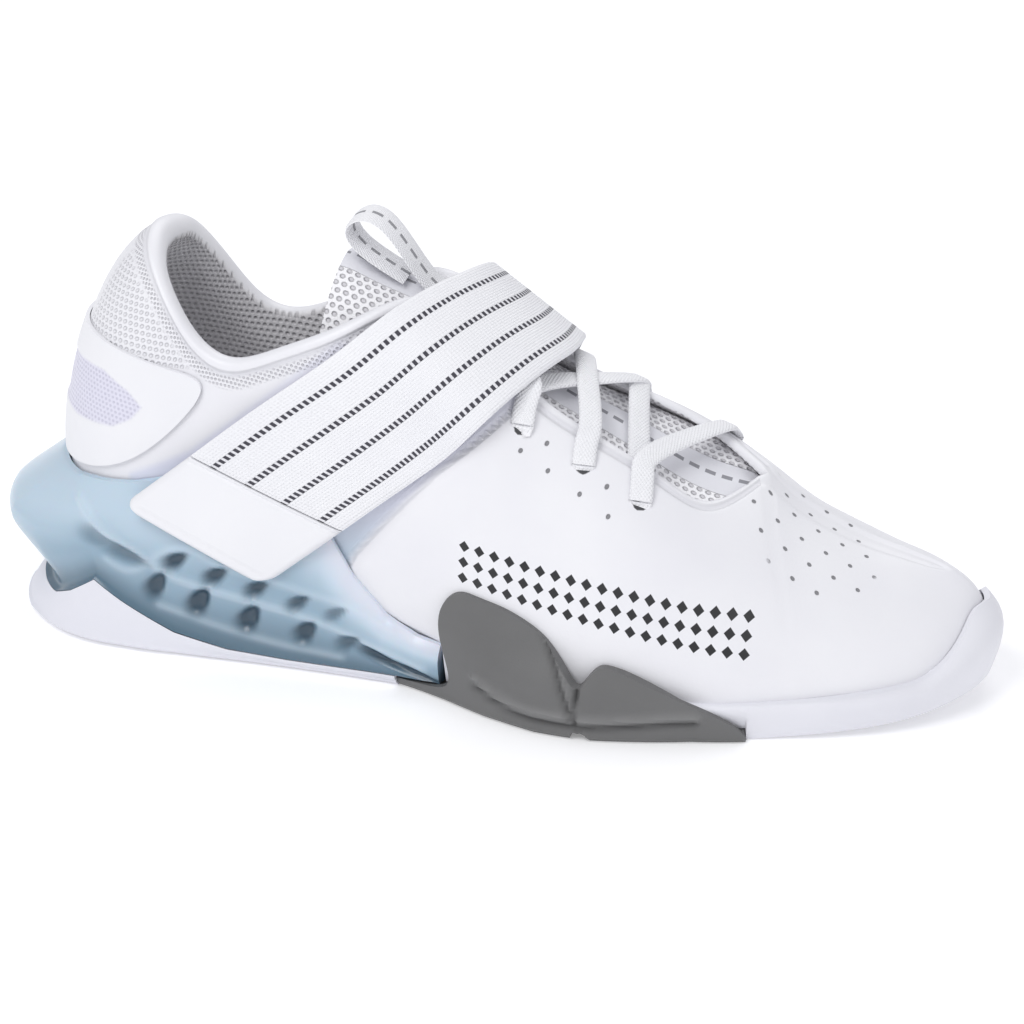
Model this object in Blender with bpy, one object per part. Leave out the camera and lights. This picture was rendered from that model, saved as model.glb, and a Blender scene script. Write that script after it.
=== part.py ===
"""A right-foot weightlifting shoe: a hollow upper on a flared wedge midsole, rubber outsoles,
a webbing strap over the instep, tongue, insole and laces.

The frame is metres with +Z up. The toe points along +X, the outer (lateral) side is -Y and the
inner (medial) side +Y. The origin lies on the floor under the back of the last's heel.
Heights are above the floor. The upper is one function of a turn round the last, counted in
sections from the heel back over the lateral side to the toe and home over the medial side, and
of a climb from the feather line (0) to the top edge (1). Every other piece takes its place from it.
"""

import math
from collections import namedtuple

import bmesh
import bpy
import numpy as np
from mathutils import Vector

MM = 0.001

# The last and the upper
LAST_LENGTH = 269.5 * MM
LAST_START = 7.0 * MM
BALL_WIDTH = 92.5 * MM
HEEL_STACK = 29.0 * MM
BALL_STACK = 10.0 * MM
TOE_LIFT = 5.5 * MM
COLLAR_HEIGHT = 124.5 * MM
INSTEP_HEIGHT = 118.0 * MM
TOE_HEIGHT = 37.5 * MM
UPPER_WALL = 2.2 * MM
COLLAR_PAD = 2.6 * MM
HEEL_PAD = 0.9
PANEL_STEP = 1.3 * MM
GAP = 0.3 * MM
CURVED_GAP = 0.65 * MM
TOE_EASE = 0.8 * MM

# The soles
CUP_HEIGHT = 1.7 * HEEL_STACK
HEEL_FLARE = 25.0 * MM
PLATE_FLOOR = 4.0 * MM
PLATE_EDGE = 2.9 * MM
PLATE_FRONT = LAST_START + 0.3952 * LAST_LENGTH
MIDSOLE_FRONT = LAST_START + 0.449 * LAST_LENGTH
WRAP_FLOOR = 3.4 * MM
WRAP_WALL = 2.0 * MM
OUTRIGGER = 11.0 * MM
WRAP_FRONT = LAST_START + 0.783 * LAST_LENGTH
RUBBER_EDGE = 3.0 * MM
RUBBER_LIP = 2.0 * MM
TOE_RUBBER = 2.4 * MM
TOE_BUMPER = 12.0 * MM
TOE_SPRING = 6.6 * MM

# Insole, tongue, strap and laces
INSOLE_THICK = 4.0 * MM
TONGUE_THICK = 4.0 * MM
TONGUE_RISE = 0.5 * MM
TAPE_WIDTH = 13.0 * MM
TAPE_THICK = 1.2 * MM
COUNTER_THICK = 1.1 * MM
STRAP_THICK = 1.7 * MM
TAB_THICK = 2.3 * MM
LACE_WIDTH = 6.0 * MM
LACE_THICK = 1.5 * MM
EYELET_RADIUS = 2.0 * MM

# One row a section of the last, from heel to toe. along: place on the last, a share of
# LAST_LENGTH. stand: height of the feather line between BALL_STACK (0) and HEEL_STACK (1), and
# tip: its share of TOE_LIFT. out_side and in_side: half widths of the feather line, shares of
# BALL_WIDTH. edge_*: the top edge, shares of LAST_LENGTH and BALL_WIDTH. high_out and high_in:
# its height, a share of the size named in of. flare, rise: the wall's first handle, outwards as
# a share of BALL_WIDTH and up as a share of the wall's height. shoulder, drop: its second handle,
# measured from the edge.
Row = namedtuple(
    "Row",
    "along stand tip out_side in_side edge_along edge_out edge_in high_out high_in of "
    "flare rise shoulder drop",
)
COLLAR, INSTEP, TOE = COLLAR_HEIGHT, INSTEP_HEIGHT, TOE_HEIGHT
SECTIONS = [
    Row(0.000, 1.00, 0.00, 0.000, 0.000, 0.088, 0.000, 0.000, 0.985, 0.985, COLLAR, 0.176, 0.28, 0.190, 0.04),
    Row(0.012, 1.00, 0.00, 0.140, 0.140, 0.094, 0.110, 0.114, 0.970, 0.972, COLLAR, 0.154, 0.29, 0.166, 0.06),
    Row(0.040, 1.00, 0.00, 0.250, 0.245, 0.108, 0.195, 0.200, 0.925, 0.930, COLLAR, 0.110, 0.31, 0.115, 0.14),
    Row(0.085, 0.97, 0.00, 0.315, 0.310, 0.134, 0.264, 0.264, 0.845, 0.832, COLLAR, 0.080, 0.33, 0.065, 0.24),
    Row(0.140, 0.93, 0.00, 0.340, 0.330, 0.166, 0.305, 0.295, 0.775, 0.735, COLLAR, 0.060, 0.34, 0.036, 0.30),
    Row(0.200, 0.87, 0.00, 0.346, 0.330, 0.207, 0.325, 0.309, 0.752, 0.698, COLLAR, 0.054, 0.34, 0.025, 0.31),
    Row(0.270, 0.75, 0.00, 0.352, 0.315, 0.262, 0.322, 0.310, 0.797, 0.740, COLLAR, 0.054, 0.34, 0.034, 0.30),
    Row(0.345, 0.57, 0.00, 0.363, 0.300, 0.326, 0.280, 0.278, 0.905, 0.868, INSTEP, 0.054, 0.33, 0.070, 0.28),
    Row(0.420, 0.39, 0.00, 0.390, 0.303, 0.396, 0.178, 0.184, 0.966, 0.930, INSTEP, 0.054, 0.31, 0.120, 0.24),
    Row(0.495, 0.22, 0.00, 0.443, 0.345, 0.459, 0.157, 0.162, 0.890, 0.862, INSTEP, 0.054, 0.30, 0.140, 0.20),
    Row(0.570, 0.10, 0.00, 0.490, 0.410, 0.527, 0.162, 0.173, 0.740, 0.738, INSTEP, 0.054, 0.31, 0.150, 0.17),
    Row(0.640, 0.03, 0.00, 0.508, 0.465, 0.597, 0.162, 0.173, 0.642, 0.672, INSTEP, 0.049, 0.32, 0.160, 0.15),
    Row(0.715, 0.00, 0.00, 0.494, 0.490, 0.664, 0.162, 0.168, 0.553, 0.617, INSTEP, 0.043, 0.33, 0.170, 0.13),
    Row(0.775, 0.00, 0.05, 0.460, 0.487, 0.716, 0.140, 0.140, 0.494, 0.560, INSTEP, 0.043, 0.33, 0.165, 0.11),
    Row(0.830, 0.00, 0.15, 0.410, 0.462, 0.764, -0.032, 0.032, 0.524, 0.524, INSTEP, 0.038, 0.32, 0.160, 0.06),
    Row(0.875, 0.00, 0.30, 0.360, 0.420, 0.800, -0.046, 0.046, 1.385, 1.385, TOE, 0.038, 0.33, 0.190, 0.00),
    Row(0.925, 0.00, 0.50, 0.285, 0.345, 0.857, -0.054, 0.054, 1.170, 1.170, TOE, 0.038, 0.36, 0.188, 0.00),
    Row(0.965, 0.00, 0.75, 0.185, 0.240, 0.900, -0.054, 0.054, 1.075, 1.075, TOE, 0.038, 0.40, 0.173, 0.00),
    Row(0.990, 0.00, 0.93, 0.080, 0.130, 0.931, -0.049, 0.049, 1.025, 1.025, TOE, 0.043, 0.45, 0.140, 0.00),
    Row(1.000, 0.00, 1.00, -0.020, 0.020, 0.950, -0.043, 0.043, 1.000, 1.000, TOE, 0.043, 0.50, 0.130, 0.00),
]
LAST = len(SECTIONS) - 1
ROUND = 2 * LAST
THROAT_END = 14


class Spline:
    """A natural or closed cubic through rows of values, read at any place."""

    def __init__(self, places, rows, period=None):
        places = np.asarray(places, float)
        rows = np.asarray(rows, float)
        if rows.ndim == 1:
            rows = rows[:, None]
        self.period = period
        if period:
            wrap = 4
            places = np.concatenate([places[-wrap:] - period, places, places[:wrap] + period])
            rows = np.concatenate([rows[-wrap:], rows, rows[:wrap]])
        count = len(places)
        step = np.diff(places)
        slope = np.diff(rows, axis=0) / step[:, None]
        matrix = np.eye(count)
        bend = np.zeros_like(rows)
        for i in range(1, count - 1):
            matrix[i, i - 1 : i + 2] = step[i - 1], 2 * (step[i - 1] + step[i]), step[i]
            bend[i] = 6 * (slope[i] - slope[i - 1])
        self.places, self.rows, self.bend = places, rows, np.linalg.solve(matrix, bend)

    def __call__(self, place):
        place = np.atleast_1d(np.asarray(place, float))
        if self.period:
            place = place % self.period
        i = np.clip(np.searchsorted(self.places, place) - 1, 0, len(self.places) - 2)
        start, end = self.places[i], self.places[i + 1]
        step = (end - start)[:, None]
        a = (end - place)[:, None] / step
        b = 1 - a
        return (
            a * self.rows[i]
            + b * self.rows[i + 1]
            + ((a**3 - a) * self.bend[i] + (b**3 - b) * self.bend[i + 1]) * step**2 / 6
        )


def smooth_step(value):
    value = np.clip(value, 0.0, 1.0)
    return value * value * (3 - 2 * value)


def unit(vectors):
    return vectors / np.maximum(np.linalg.norm(vectors, axis=-1, keepdims=True), 1e-12)


def foot_row(row, side):
    """The feather point and the wall's handles of one section, lateral (-1) or medial (1)."""
    half = row.out_side if side < 0 else row.in_side
    return (
        LAST_START + row.along * LAST_LENGTH,
        side * half * BALL_WIDTH,
        BALL_STACK + row.stand * (HEEL_STACK - BALL_STACK) + row.tip * TOE_LIFT,
        row.flare * BALL_WIDTH,
        row.rise,
        row.shoulder * BALL_WIDTH,
        row.drop,
    )


def edge_row(row, side):
    half, high = (row.edge_out, row.high_out) if side < 0 else (row.edge_in, row.high_in)
    return (
        LAST_START + row.edge_along * LAST_LENGTH,
        side * half * BALL_WIDTH,
        high * row.of,
    )


FOOT = Spline(
    range(ROUND),
    [foot_row(row, -1) for row in SECTIONS] + [foot_row(row, 1) for row in SECTIONS[-2:0:-1]],
    period=ROUND,
)
COLLAR_EDGE = Spline(
    range(-THROAT_END, THROAT_END + 1),
    [edge_row(row, 1) for row in SECTIONS[THROAT_END:0:-1]]
    + [edge_row(row, -1) for row in SECTIONS[: THROAT_END + 1]],
)
SPINE = Spline(
    range(THROAT_END, LAST + 1), [edge_row(row, 1) for row in SECTIONS[THROAT_END:]]
)


def foot_line(turns):
    """Feather points and the level outward directions there."""
    nudge = 0.02
    place = FOOT(turns)
    ahead = FOOT(np.asarray(turns) + nudge)[:, :2] - FOOT(np.asarray(turns) - nudge)[:, :2]
    ahead = unit(ahead)
    out = np.stack([ahead[:, 1], -ahead[:, 0], np.zeros(len(ahead))], axis=1)
    return place, out


def on_spine(turns):
    turns = np.asarray(turns, float) % ROUND
    return np.minimum(turns, ROUND - turns) >= THROAT_END - 1e-9


def edge_line(turns):
    """Top edge points, and how steeply the spine falls there (0 off the spine)."""
    turns = np.asarray(turns, float) % ROUND
    folded = np.minimum(turns, ROUND - turns)
    signed = np.where(turns <= LAST, folded, -folded)
    vamp = on_spine(turns)
    points = COLLAR_EDGE(np.clip(signed, -THROAT_END, THROAT_END))
    spine = SPINE(np.clip(folded, THROAT_END, LAST))
    nudge = 0.02
    place = np.clip(folded, THROAT_END + nudge, LAST - nudge)
    fall = SPINE(place + nudge) - SPINE(place - nudge)
    slope = np.where(vamp, fall[:, 2] / np.maximum(fall[:, 0], 1e-9), 0.0)
    return np.where(vamp[:, None], spine, points), slope


def wall_points(turns, climbs):
    """The upper's outer surface, one row of points a turn and one column a climb."""
    turns = np.asarray(turns, float)
    climbs = np.asarray(climbs, float)
    foot, out = foot_line(turns)
    edge, slope = edge_line(turns)
    high = edge[:, 2] - foot[:, 2]
    start = foot[:, :3]
    first = start + out * foot[:, 3:4]
    first[:, 2] += foot[:, 4] * high
    second = edge + out * foot[:, 5:6]
    second[:, 2] += out[:, 0] * slope * foot[:, 5] - foot[:, 6] * high
    v = climbs[None, :, None]
    return (
        (1 - v) ** 3 * start[:, None]
        + 3 * v * (1 - v) ** 2 * first[:, None]
        + 3 * v**2 * (1 - v) * second[:, None]
        + v**3 * edge[:, None]
    )


def wall_normals(turns, climbs):
    nudge_turn, nudge_climb = 0.03, 0.01
    turns = np.asarray(turns, float)
    meets = np.asarray(climbs)[-1] > 0.99
    climbs = np.clip(climbs, 0.0, 0.985)

    def raw(turns):
        along = wall_points(turns + nudge_turn, climbs) - wall_points(turns - nudge_turn, climbs)
        up = wall_points(turns, climbs + nudge_climb) - wall_points(turns, climbs - nudge_climb)
        return unit(np.cross(along, up))

    normals = raw(turns)
    joined = on_spine(turns) & meets
    normals[joined, -1] = unit(normals[joined, -1] + raw((ROUND - turns) % ROUND)[joined, -1])
    return normals


def panel_rise(points):
    """How far the forefoot panel's skin stands over the midfoot's: a step behind its back edge."""
    edge_low = LAST_START + 0.345 * LAST_LENGTH
    lean = 0.72
    waist = 0.31 * INSTEP_HEIGHT
    back = edge_low + lean * np.abs(points[..., 2] - waist)
    return PANEL_STEP * smooth_step((points[..., 0] - back) / (7 * MM) + 0.5)


def wall_skin(turns, climbs):
    """The real outer surface: the wall's own points with the forefoot panel's step."""
    points = wall_points(turns, climbs)
    return points + wall_normals(turns, climbs) * panel_rise(points)[..., None]


def layer(turns, climbs, low, high):
    """Two surfaces off the skin, low and high above it along its normal."""
    skin = wall_skin(turns, climbs)
    normals = wall_normals(turns, climbs)
    low = np.broadcast_to(low, skin.shape[:2])[..., None]
    high = np.broadcast_to(high, skin.shape[:2])[..., None]
    return skin + normals * low, skin + normals * high


def turn_at(x, side=-1):
    """The turn whose feather point has this x, on the lateral or the medial side."""
    places = np.linspace(0, LAST, 1901)
    turn = float(np.interp(x, FOOT(places)[:, 0], places))
    return turn if side < 0 else ROUND - turn


def stack_height(points):
    """Height of the floor that the sole gives the foot, at each point's own x."""
    places = np.linspace(0, LAST, 381)
    foot = FOOT(places)
    points = np.asarray(points)
    return np.interp(points[:, 0], foot[:, 0], foot[:, 2])


def new_material(name, colour, roughness, coat=0.0):
    material = bpy.data.materials.new(name)
    material.use_nodes = True
    shader = material.node_tree.nodes["Principled BSDF"]
    shader.inputs["Base Color"].default_value = (*colour, 1.0)
    shader.inputs["Roughness"].default_value = roughness
    shader.inputs["Metallic"].default_value = 0.0
    shader.inputs["Coat Weight"].default_value = coat
    material.diffuse_color = (*colour, 1.0)
    return material


def clear_scene():
    for obj in list(bpy.data.objects):
        bpy.data.objects.remove(obj, do_unlink=True)
    for name in ("Weightlifting shoe", "Cutters"):
        collection = bpy.data.collections.new(name)
        bpy.context.scene.collection.children.link(collection)


def mesh_object(name, points, faces, material=None, cutter=False):
    """An object from points and faces, welded, with its faces turned outwards."""
    mesh = bpy.data.meshes.new(name)
    mesh.from_pydata([tuple(p) for p in points], [], [tuple(f) for f in faces])
    work = bmesh.new()
    work.from_mesh(mesh)
    bmesh.ops.remove_doubles(work, verts=work.verts, dist=0.02 * MM)
    bmesh.ops.dissolve_degenerate(work, edges=work.edges, dist=0.01 * MM)
    bmesh.ops.triangulate(work, faces=work.faces)
    bmesh.ops.recalc_face_normals(work, faces=work.faces)
    work.to_mesh(mesh)
    work.free()
    mesh.shade_smooth()
    mesh.set_sharp_from_angle(angle=math.radians(40))
    obj = bpy.data.objects.new(name, mesh)
    bpy.data.collections["Cutters" if cutter else "Weightlifting shoe"].objects.link(obj)
    if material:
        mesh.materials.append(material)
    if cutter:
        obj.hide_render = True
        obj.display_type = "WIRE"
    return obj


def strip_faces(first, second, closed):
    """Quads between two equal rows of point numbers."""
    count = len(first)
    last = count if closed else count - 1
    for i in range(last):
        j = (i + 1) % count
        yield first[i], first[j], second[j], second[i]


def loop_solid(name, rings, material, pairs, mouth=None):
    """A closed solid from rings of points, bottom to top, with both ends bridged across.

    pairs says how the end rings are spanned: it lists the two point numbers of each cross line.
    mouth is the cross line where a tray is open: its face there follows the tray's section.
    """
    count = len(rings[0])
    points = np.concatenate(rings)
    faces = []
    for k in range(len(rings) - 1):
        low = [k * count + i for i in range(count)]
        high = [(k + 1) * count + i for i in range(count)]
        strip = list(strip_faces(low, high, closed=True))
        if mouth:
            strip = [f for f in strip if {f[0] - low[0], f[1] - low[0]} != set(mouth)]
        faces += strip
    if mouth:
        near, far = mouth
        section = [k * count + near for k in range(len(rings))]
        faces.append(section + [k * count + far for k in range(len(rings) - 1, -1, -1)])
    for base in (0, (len(rings) - 1) * count):
        for (a, b), (c, d) in zip(pairs[:-1], pairs[1:]):
            faces.append([base + a, base + c, base + d, base + b])
    faces = [tuple(dict.fromkeys(face)) for face in faces]
    return mesh_object(name, points, [f for f in faces if len(f) > 2], material)


def cut(obj, cutter, operation):
    modifier = obj.modifiers.new(cutter.name, "BOOLEAN")
    modifier.operation = operation
    modifier.solver = "MANIFOLD" if operation == "UNION" else "EXACT"
    modifier.object = cutter
    return modifier


def side_prism(name, outline, near, far):
    """A cutter: an outline in the side view (x, z), run across from near to far along Y."""
    count = len(outline)
    points = [(x, y, z) for y in (near, far) for x, z in outline]
    faces = [list(range(count)), list(range(2 * count - 1, count - 1, -1))]
    for i in range(count):
        j = (i + 1) % count
        faces.append([i, j, count + j, count + i])
    return mesh_object(name, points, faces, cutter=True)


# Columns of the upper: each section and the turn half way to the next
TURNS = np.arange(0, ROUND, 0.5)
CLIMBS = np.linspace(0, 1, 13)


def both_sides(turns):
    """Turns of one loop from the back of a piece to its front and home, and its cross lines."""
    medial = [(ROUND - t) % ROUND for t in turns[::-1]]
    whole = list(turns)
    closed_back = turns[0] == 0
    closed_front = turns[-1] == LAST
    if closed_front:
        medial = medial[1:]
    if closed_back:
        medial = medial[:-1]
    count = len(turns)
    total = count + len(medial)
    pairs = []
    for i in range(count):
        if closed_back:
            mate = (total - i) % total
        else:
            mate = total - 1 - i
        pairs.append((i, mate))
    return np.array(whole + medial), pairs


def by_turn(table, turns):
    """A table of (turn, values...) rows read at each turn, the same on both sides."""
    folded = np.minimum(np.asarray(turns) % ROUND, ROUND - np.asarray(turns) % ROUND)
    rows = np.array(table, float)
    return np.stack([np.interp(folded, rows[:, 0], rows[:, k]) for k in range(1, rows.shape[1])], 1)


def ring(turns, out, height):
    """Points outside the feather line by out, at a height."""
    foot, away = foot_line(turns)
    points = foot[:, :3] + away * np.broadcast_to(out, len(turns))[:, None]
    points[:, 2] = height
    return points


def inner_ring(turns, lips, share):
    """Points just off the upper, at a share of the way up to a piece's lip on each turn."""
    toe = smooth_step((np.minimum(turns, ROUND - turns) - 16) / 2)
    return np.array([
        layer([t], [share * c], CURVED_GAP + TOE_EASE * e, 0)[0][0, 0]
        for t, c, e in zip(turns, lips, toe)
    ])


def seat_ring(turns):
    """The edge of the floor under the upper's own lower edge."""
    seat = inner_ring(turns, np.zeros(len(turns)), 0.0)
    heights = np.stack([stack_height(seat), foot_line(turns)[0][:, 2], seat[:, 2]])
    seat[:, 2] = heights.min(axis=0) - GAP
    return seat


def build_upper(material):
    """The hollow upper: one wall with a step at the forefoot panel and a padded collar."""
    turns, climbs = TURNS, CLIMBS
    folded = np.minimum(turns, ROUND - turns)
    collar = smooth_step((10.0 - folded) / 3.0)[:, None] * smooth_step((climbs - 0.45) / 0.4)[None]
    heel = 1 + HEEL_PAD * smooth_step((3.5 - folded) / 3.5)[:, None]
    low, high = layer(turns, climbs, -UPPER_WALL - COLLAR_PAD * heel * collar, 0.0)
    crest = (low[:, -1] + high[:, -1]) / 2
    up = unit(high[:, -1] - high[:, -2]) * UPPER_WALL * 0.5
    open_edge = ~on_spine(turns)
    count, rows = len(turns), len(climbs)
    points = np.concatenate([high.reshape(-1, 3), low.reshape(-1, 3), crest + up])
    outer = np.arange(count * rows).reshape(count, rows)
    inner = outer + count * rows
    top = np.arange(count) + 2 * count * rows
    faces = []
    for i in range(count):
        j = (i + 1) % count
        for k in range(rows - 1):
            faces.append((outer[i, k], outer[j, k], outer[j, k + 1], outer[i, k + 1]))
            faces.append((inner[i, k], inner[i, k + 1], inner[j, k + 1], inner[j, k]))
        faces.append((outer[i, 0], inner[i, 0], inner[j, 0], outer[j, 0]))
        if open_edge[i] and open_edge[j]:
            faces.append((outer[i, -1], outer[j, -1], top[j], top[i]))
            faces.append((top[i], top[j], inner[j, -1], inner[i, -1]))
        elif open_edge[i] or open_edge[j]:
            a, b = (i, j) if open_edge[i] else (j, i)
            faces.append((outer[a, -1], outer[b, -1], inner[b, -1], inner[a, -1], top[a]))
    used = sorted({n for face in faces for n in face})
    number = {n: k for k, n in enumerate(used)}
    faces = [tuple(number[n] for n in face) for face in faces]
    return mesh_object("upper", points[used], faces, material)


# The midsole's side, one row a turn: the base where it meets the heel plate (height, out), the
# waist, the bulge and the lip (its height, and its stand off the upper). Heights and outs are
# shares of HEEL_STACK and HEEL_FLARE.
MIDSOLE_SIDE = [
    # turn, base, out, waist, out, bulge, out, over, out, lip, stand
    (0.0, 0.37, 0.60, 0.52, 0.53, 1.05, 0.97, 1.35, 0.85, 1.73, 0.07),
    (1.0, 0.37, 0.58, 0.53, 0.52, 1.05, 0.92, 1.35, 0.80, 1.73, 0.07),
    (1.6, 0.40, 0.56, 0.56, 0.50, 1.07, 0.78, 1.38, 0.60, 1.75, 0.07),
    (2.0, 0.52, 0.50, 0.70, 0.44, 1.10, 0.62, 1.42, 0.48, 1.79, 0.07),
    (2.5, 0.74, 0.42, 0.86, 0.38, 1.14, 0.46, 1.47, 0.36, 1.83, 0.07),
    (3.0, 0.57, 0.36, 0.76, 0.32, 1.16, 0.38, 1.52, 0.30, 1.88, 0.07),
    (4.0, 0.30, 0.30, 0.55, 0.26, 1.10, 0.32, 1.60, 0.26, 2.05, 0.06),
    (5.0, 0.18, 0.28, 0.44, 0.25, 1.00, 0.30, 1.62, 0.25, 2.28, 0.05),
    (6.0, 0.145, 0.26, 0.38, 0.25, 0.88, 0.28, 1.45, 0.25, 2.22, 0.05),
    (6.5, 0.140, 0.25, 0.34, 0.24, 0.78, 0.27, 1.25, 0.24, 1.85, 0.05),
    (7.0, 0.140, 0.24, 0.30, 0.24, 0.62, 0.26, 0.86, 0.24, 1.17, 0.06),
    (7.5, 0.140, 0.22, 0.26, 0.22, 0.46, 0.25, 0.62, 0.23, 0.78, 0.07),
    (8.0, 0.140, 0.20, 0.24, 0.21, 0.38, 0.23, 0.50, 0.22, 0.62, 0.07),
    (9.0, 0.140, 0.16, 0.20, 0.17, 0.30, 0.19, 0.40, 0.18, 0.52, 0.07),
]


def midsole_base(turns):
    rows = by_turn(MIDSOLE_SIDE, turns)
    return rows[:, 0] * HEEL_STACK, rows[:, 1] * HEEL_FLARE


def climb_at(turn, height):
    """The climb at which the skin reaches a height on one turn."""
    climbs = np.linspace(0, 1, 201)
    heights = wall_skin([turn], climbs)[0, :, 2]
    return float(np.interp(height, heights, climbs))


def back_turns(front):
    """Turns of the upper's own columns from the heel back to a front, which ends the list."""
    end = turn_at(front)
    return [t for t in np.arange(0, LAST, 0.5) if t < end - 0.12] + [end]


def build_midsole(material):
    """The wedge and its cup: a solid base whose wall climbs the upper's heel and waist."""
    turns, pairs = both_sides(back_turns(MIDSOLE_FRONT))
    side = by_turn(MIDSOLE_SIDE, turns)
    base, out = midsole_base(turns)
    floor = PLATE_FLOOR + GAP
    rings = [
        ring(turns, out - 7 * MM, floor),
        ring(turns, out, np.maximum(base + GAP, floor)),
        ring(turns, side[:, 3] * HEEL_FLARE, np.maximum(side[:, 2] * HEEL_STACK, floor + 1 * MM)),
        ring(turns, side[:, 5] * HEEL_FLARE, side[:, 4] * HEEL_STACK),
        ring(turns, side[:, 7] * HEEL_FLARE, side[:, 6] * HEEL_STACK),
    ]
    lips = np.array([climb_at(t, h * HEEL_STACK) for t, h in zip(turns, side[:, 8])])
    shares = (1.0, 0.75, 0.5, 0.25, 0.0)
    inner = [inner_ring(turns, lips, share) for share in shares]
    outer = []
    for t, c, stand in zip(turns, lips, side[:, 9]):
        outer.append(layer([t], [c * 0.985], GAP, GAP + stand * HEEL_FLARE)[1][0, 0])
    rings.append(np.array(outer))
    rings += inner
    rings.append(seat_ring(turns))
    return loop_solid("midsole", rings, material, pairs, mouth=pairs[-1])


# The heel plate's side: turn, out at the floor, out at the edge above it. Shares of HEEL_FLARE.
PLATE_SIDE = [
    (0.0, 0.36, 0.82),
    (1.0, 0.36, 0.76),
    (2.0, 0.30, 0.58),
    (3.0, 0.20, 0.38),
    (4.0, 0.15, 0.28),
    (5.0, 0.13, 0.25),
    (6.0, 0.11, 0.22),
    (7.0, 0.11, 0.20),
    (8.0, 0.09, 0.17),
]


def build_heel_plate(material):
    """The heel's rubber plate: flat on the floor, its side rising to a peak at each quarter."""
    turns, pairs = both_sides(back_turns(PLATE_FRONT))
    side = by_turn(PLATE_SIDE, turns) * HEEL_FLARE
    base, out = midsole_base(turns)
    edge = np.minimum(PLATE_EDGE, base * 0.6)
    rings = [
        ring(turns, side[:, 0], 0.0),
        ring(turns, side[:, 1], edge),
        ring(turns, out, np.maximum(base, PLATE_FLOOR - 0.2 * MM)),
        ring(turns, out - 7 * MM, PLATE_FLOOR),
    ]
    return loop_solid("outsole_heel", rings, material, pairs)


def floor_rise(points):
    """Height of the forefoot rubber's underside: flat at the ball, rising to the toe."""
    flat_end = (WRAP_FRONT - 4 * MM)
    toe_end = LAST_START + LAST_LENGTH
    share = np.clip((points[:, 0] - flat_end) / (toe_end - flat_end), 0, 1)
    return TOE_SPRING * (0.45 * share + 0.55 * share**2)


def rubber_top(turns):
    """Top of the forefoot rubber's edge, climbing to the toe bumper."""
    foot, _ = foot_line(turns)
    toe = smooth_step((np.minimum(turns, ROUND - turns) - 16.4) / 2.2)
    return foot[:, 2] + RUBBER_LIP + toe * TOE_BUMPER


def build_forefoot_rubber(material):
    """The forefoot outsole: a tray whose edge is low at the ball and rises over the toe."""
    start = turn_at(MIDSOLE_FRONT + 5 * GAP)
    step = turn_at(WRAP_FRONT)
    near = [t for t in np.arange(0, LAST + 0.1, 0.5) if start + 0.12 < t and abs(t - step) > 0.1]
    turns, pairs = both_sides(sorted([start, step, turn_at(WRAP_FRONT + GAP), *near]))
    folded = np.minimum(turns, ROUND - turns)
    under = ring(turns, 0.0, 0.0)
    recessed = folded <= step + 1e-6
    low = np.where(recessed, WRAP_FLOOR + GAP, floor_rise(under))
    width = RUBBER_EDGE + TOE_RUBBER * smooth_step((folded - 13) / 4)
    top = rubber_top(turns)
    lips = np.array([climb_at(t, h) for t, h in zip(turns, top)])
    inner = []
    for share in (1.0, 0.75, 0.5, 0.25, 0.0):
        inner.append(inner_ring(turns, lips, share))
    outer = []
    for share, thick in ((0.45, 1.0), (1.0, 0.55)):
        outer.append(
            np.array([
                layer([t], [share * c], 0, GAP + w * thick)[1][0, 0]
                for t, c, w in zip(turns, lips, width)
            ])
        )
    rings = [
        ring(turns, width - 1.0 * MM, low),
        ring(turns, width, low + 1.6 * MM),
        *outer,
        *inner,
    ]
    rings.append(seat_ring(turns))
    return loop_solid("outsole_forefoot", rings, material, pairs, mouth=pairs[0])


# The wrap's side: turn, out at the floor, out at a third, out at the top. Shares of OUTRIGGER.
WRAP_SIDE = [
    (7.5, 0.20, 0.45, 0.55),
    (8.5, 0.52, 0.62, 0.60),
    (9.2, 0.80, 0.78, 0.62),
    (10.0, 0.98, 0.90, 0.62),
    (10.8, 0.90, 0.86, 0.60),
    (11.5, 0.66, 0.72, 0.58),
    (12.2, 0.44, 0.56, 0.54),
    (13.2, 0.38, 0.48, 0.50),
]
# The wrap's outline from the side: along the last as a share, height as a share of HEEL_STACK.
WRAP_OUTLINE = [
    (0.630, -0.2),
    (0.620, 0.075),
    (0.606, 0.085),
    (0.600, -0.2),
    (0.398, -0.2),
    (0.398, 0.10),
    (0.450, 0.13),
    (0.457, 0.32),
    (0.448, 0.62),
    (0.446, 0.92),
    (0.453, 1.12),
    (0.470, 1.22),
    (0.500, 1.19),
    (0.535, 1.10),
    (0.570, 0.98),
    (0.590, 0.80),
    (0.612, 0.57),
    (0.622, 0.68),
    (0.632, 0.76),
    (0.660, 0.71),
    (0.700, 0.58),
    (0.740, 0.42),
    (0.770, 0.26),
    (0.783, 0.10),
    (0.783, -0.2),
]


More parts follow.
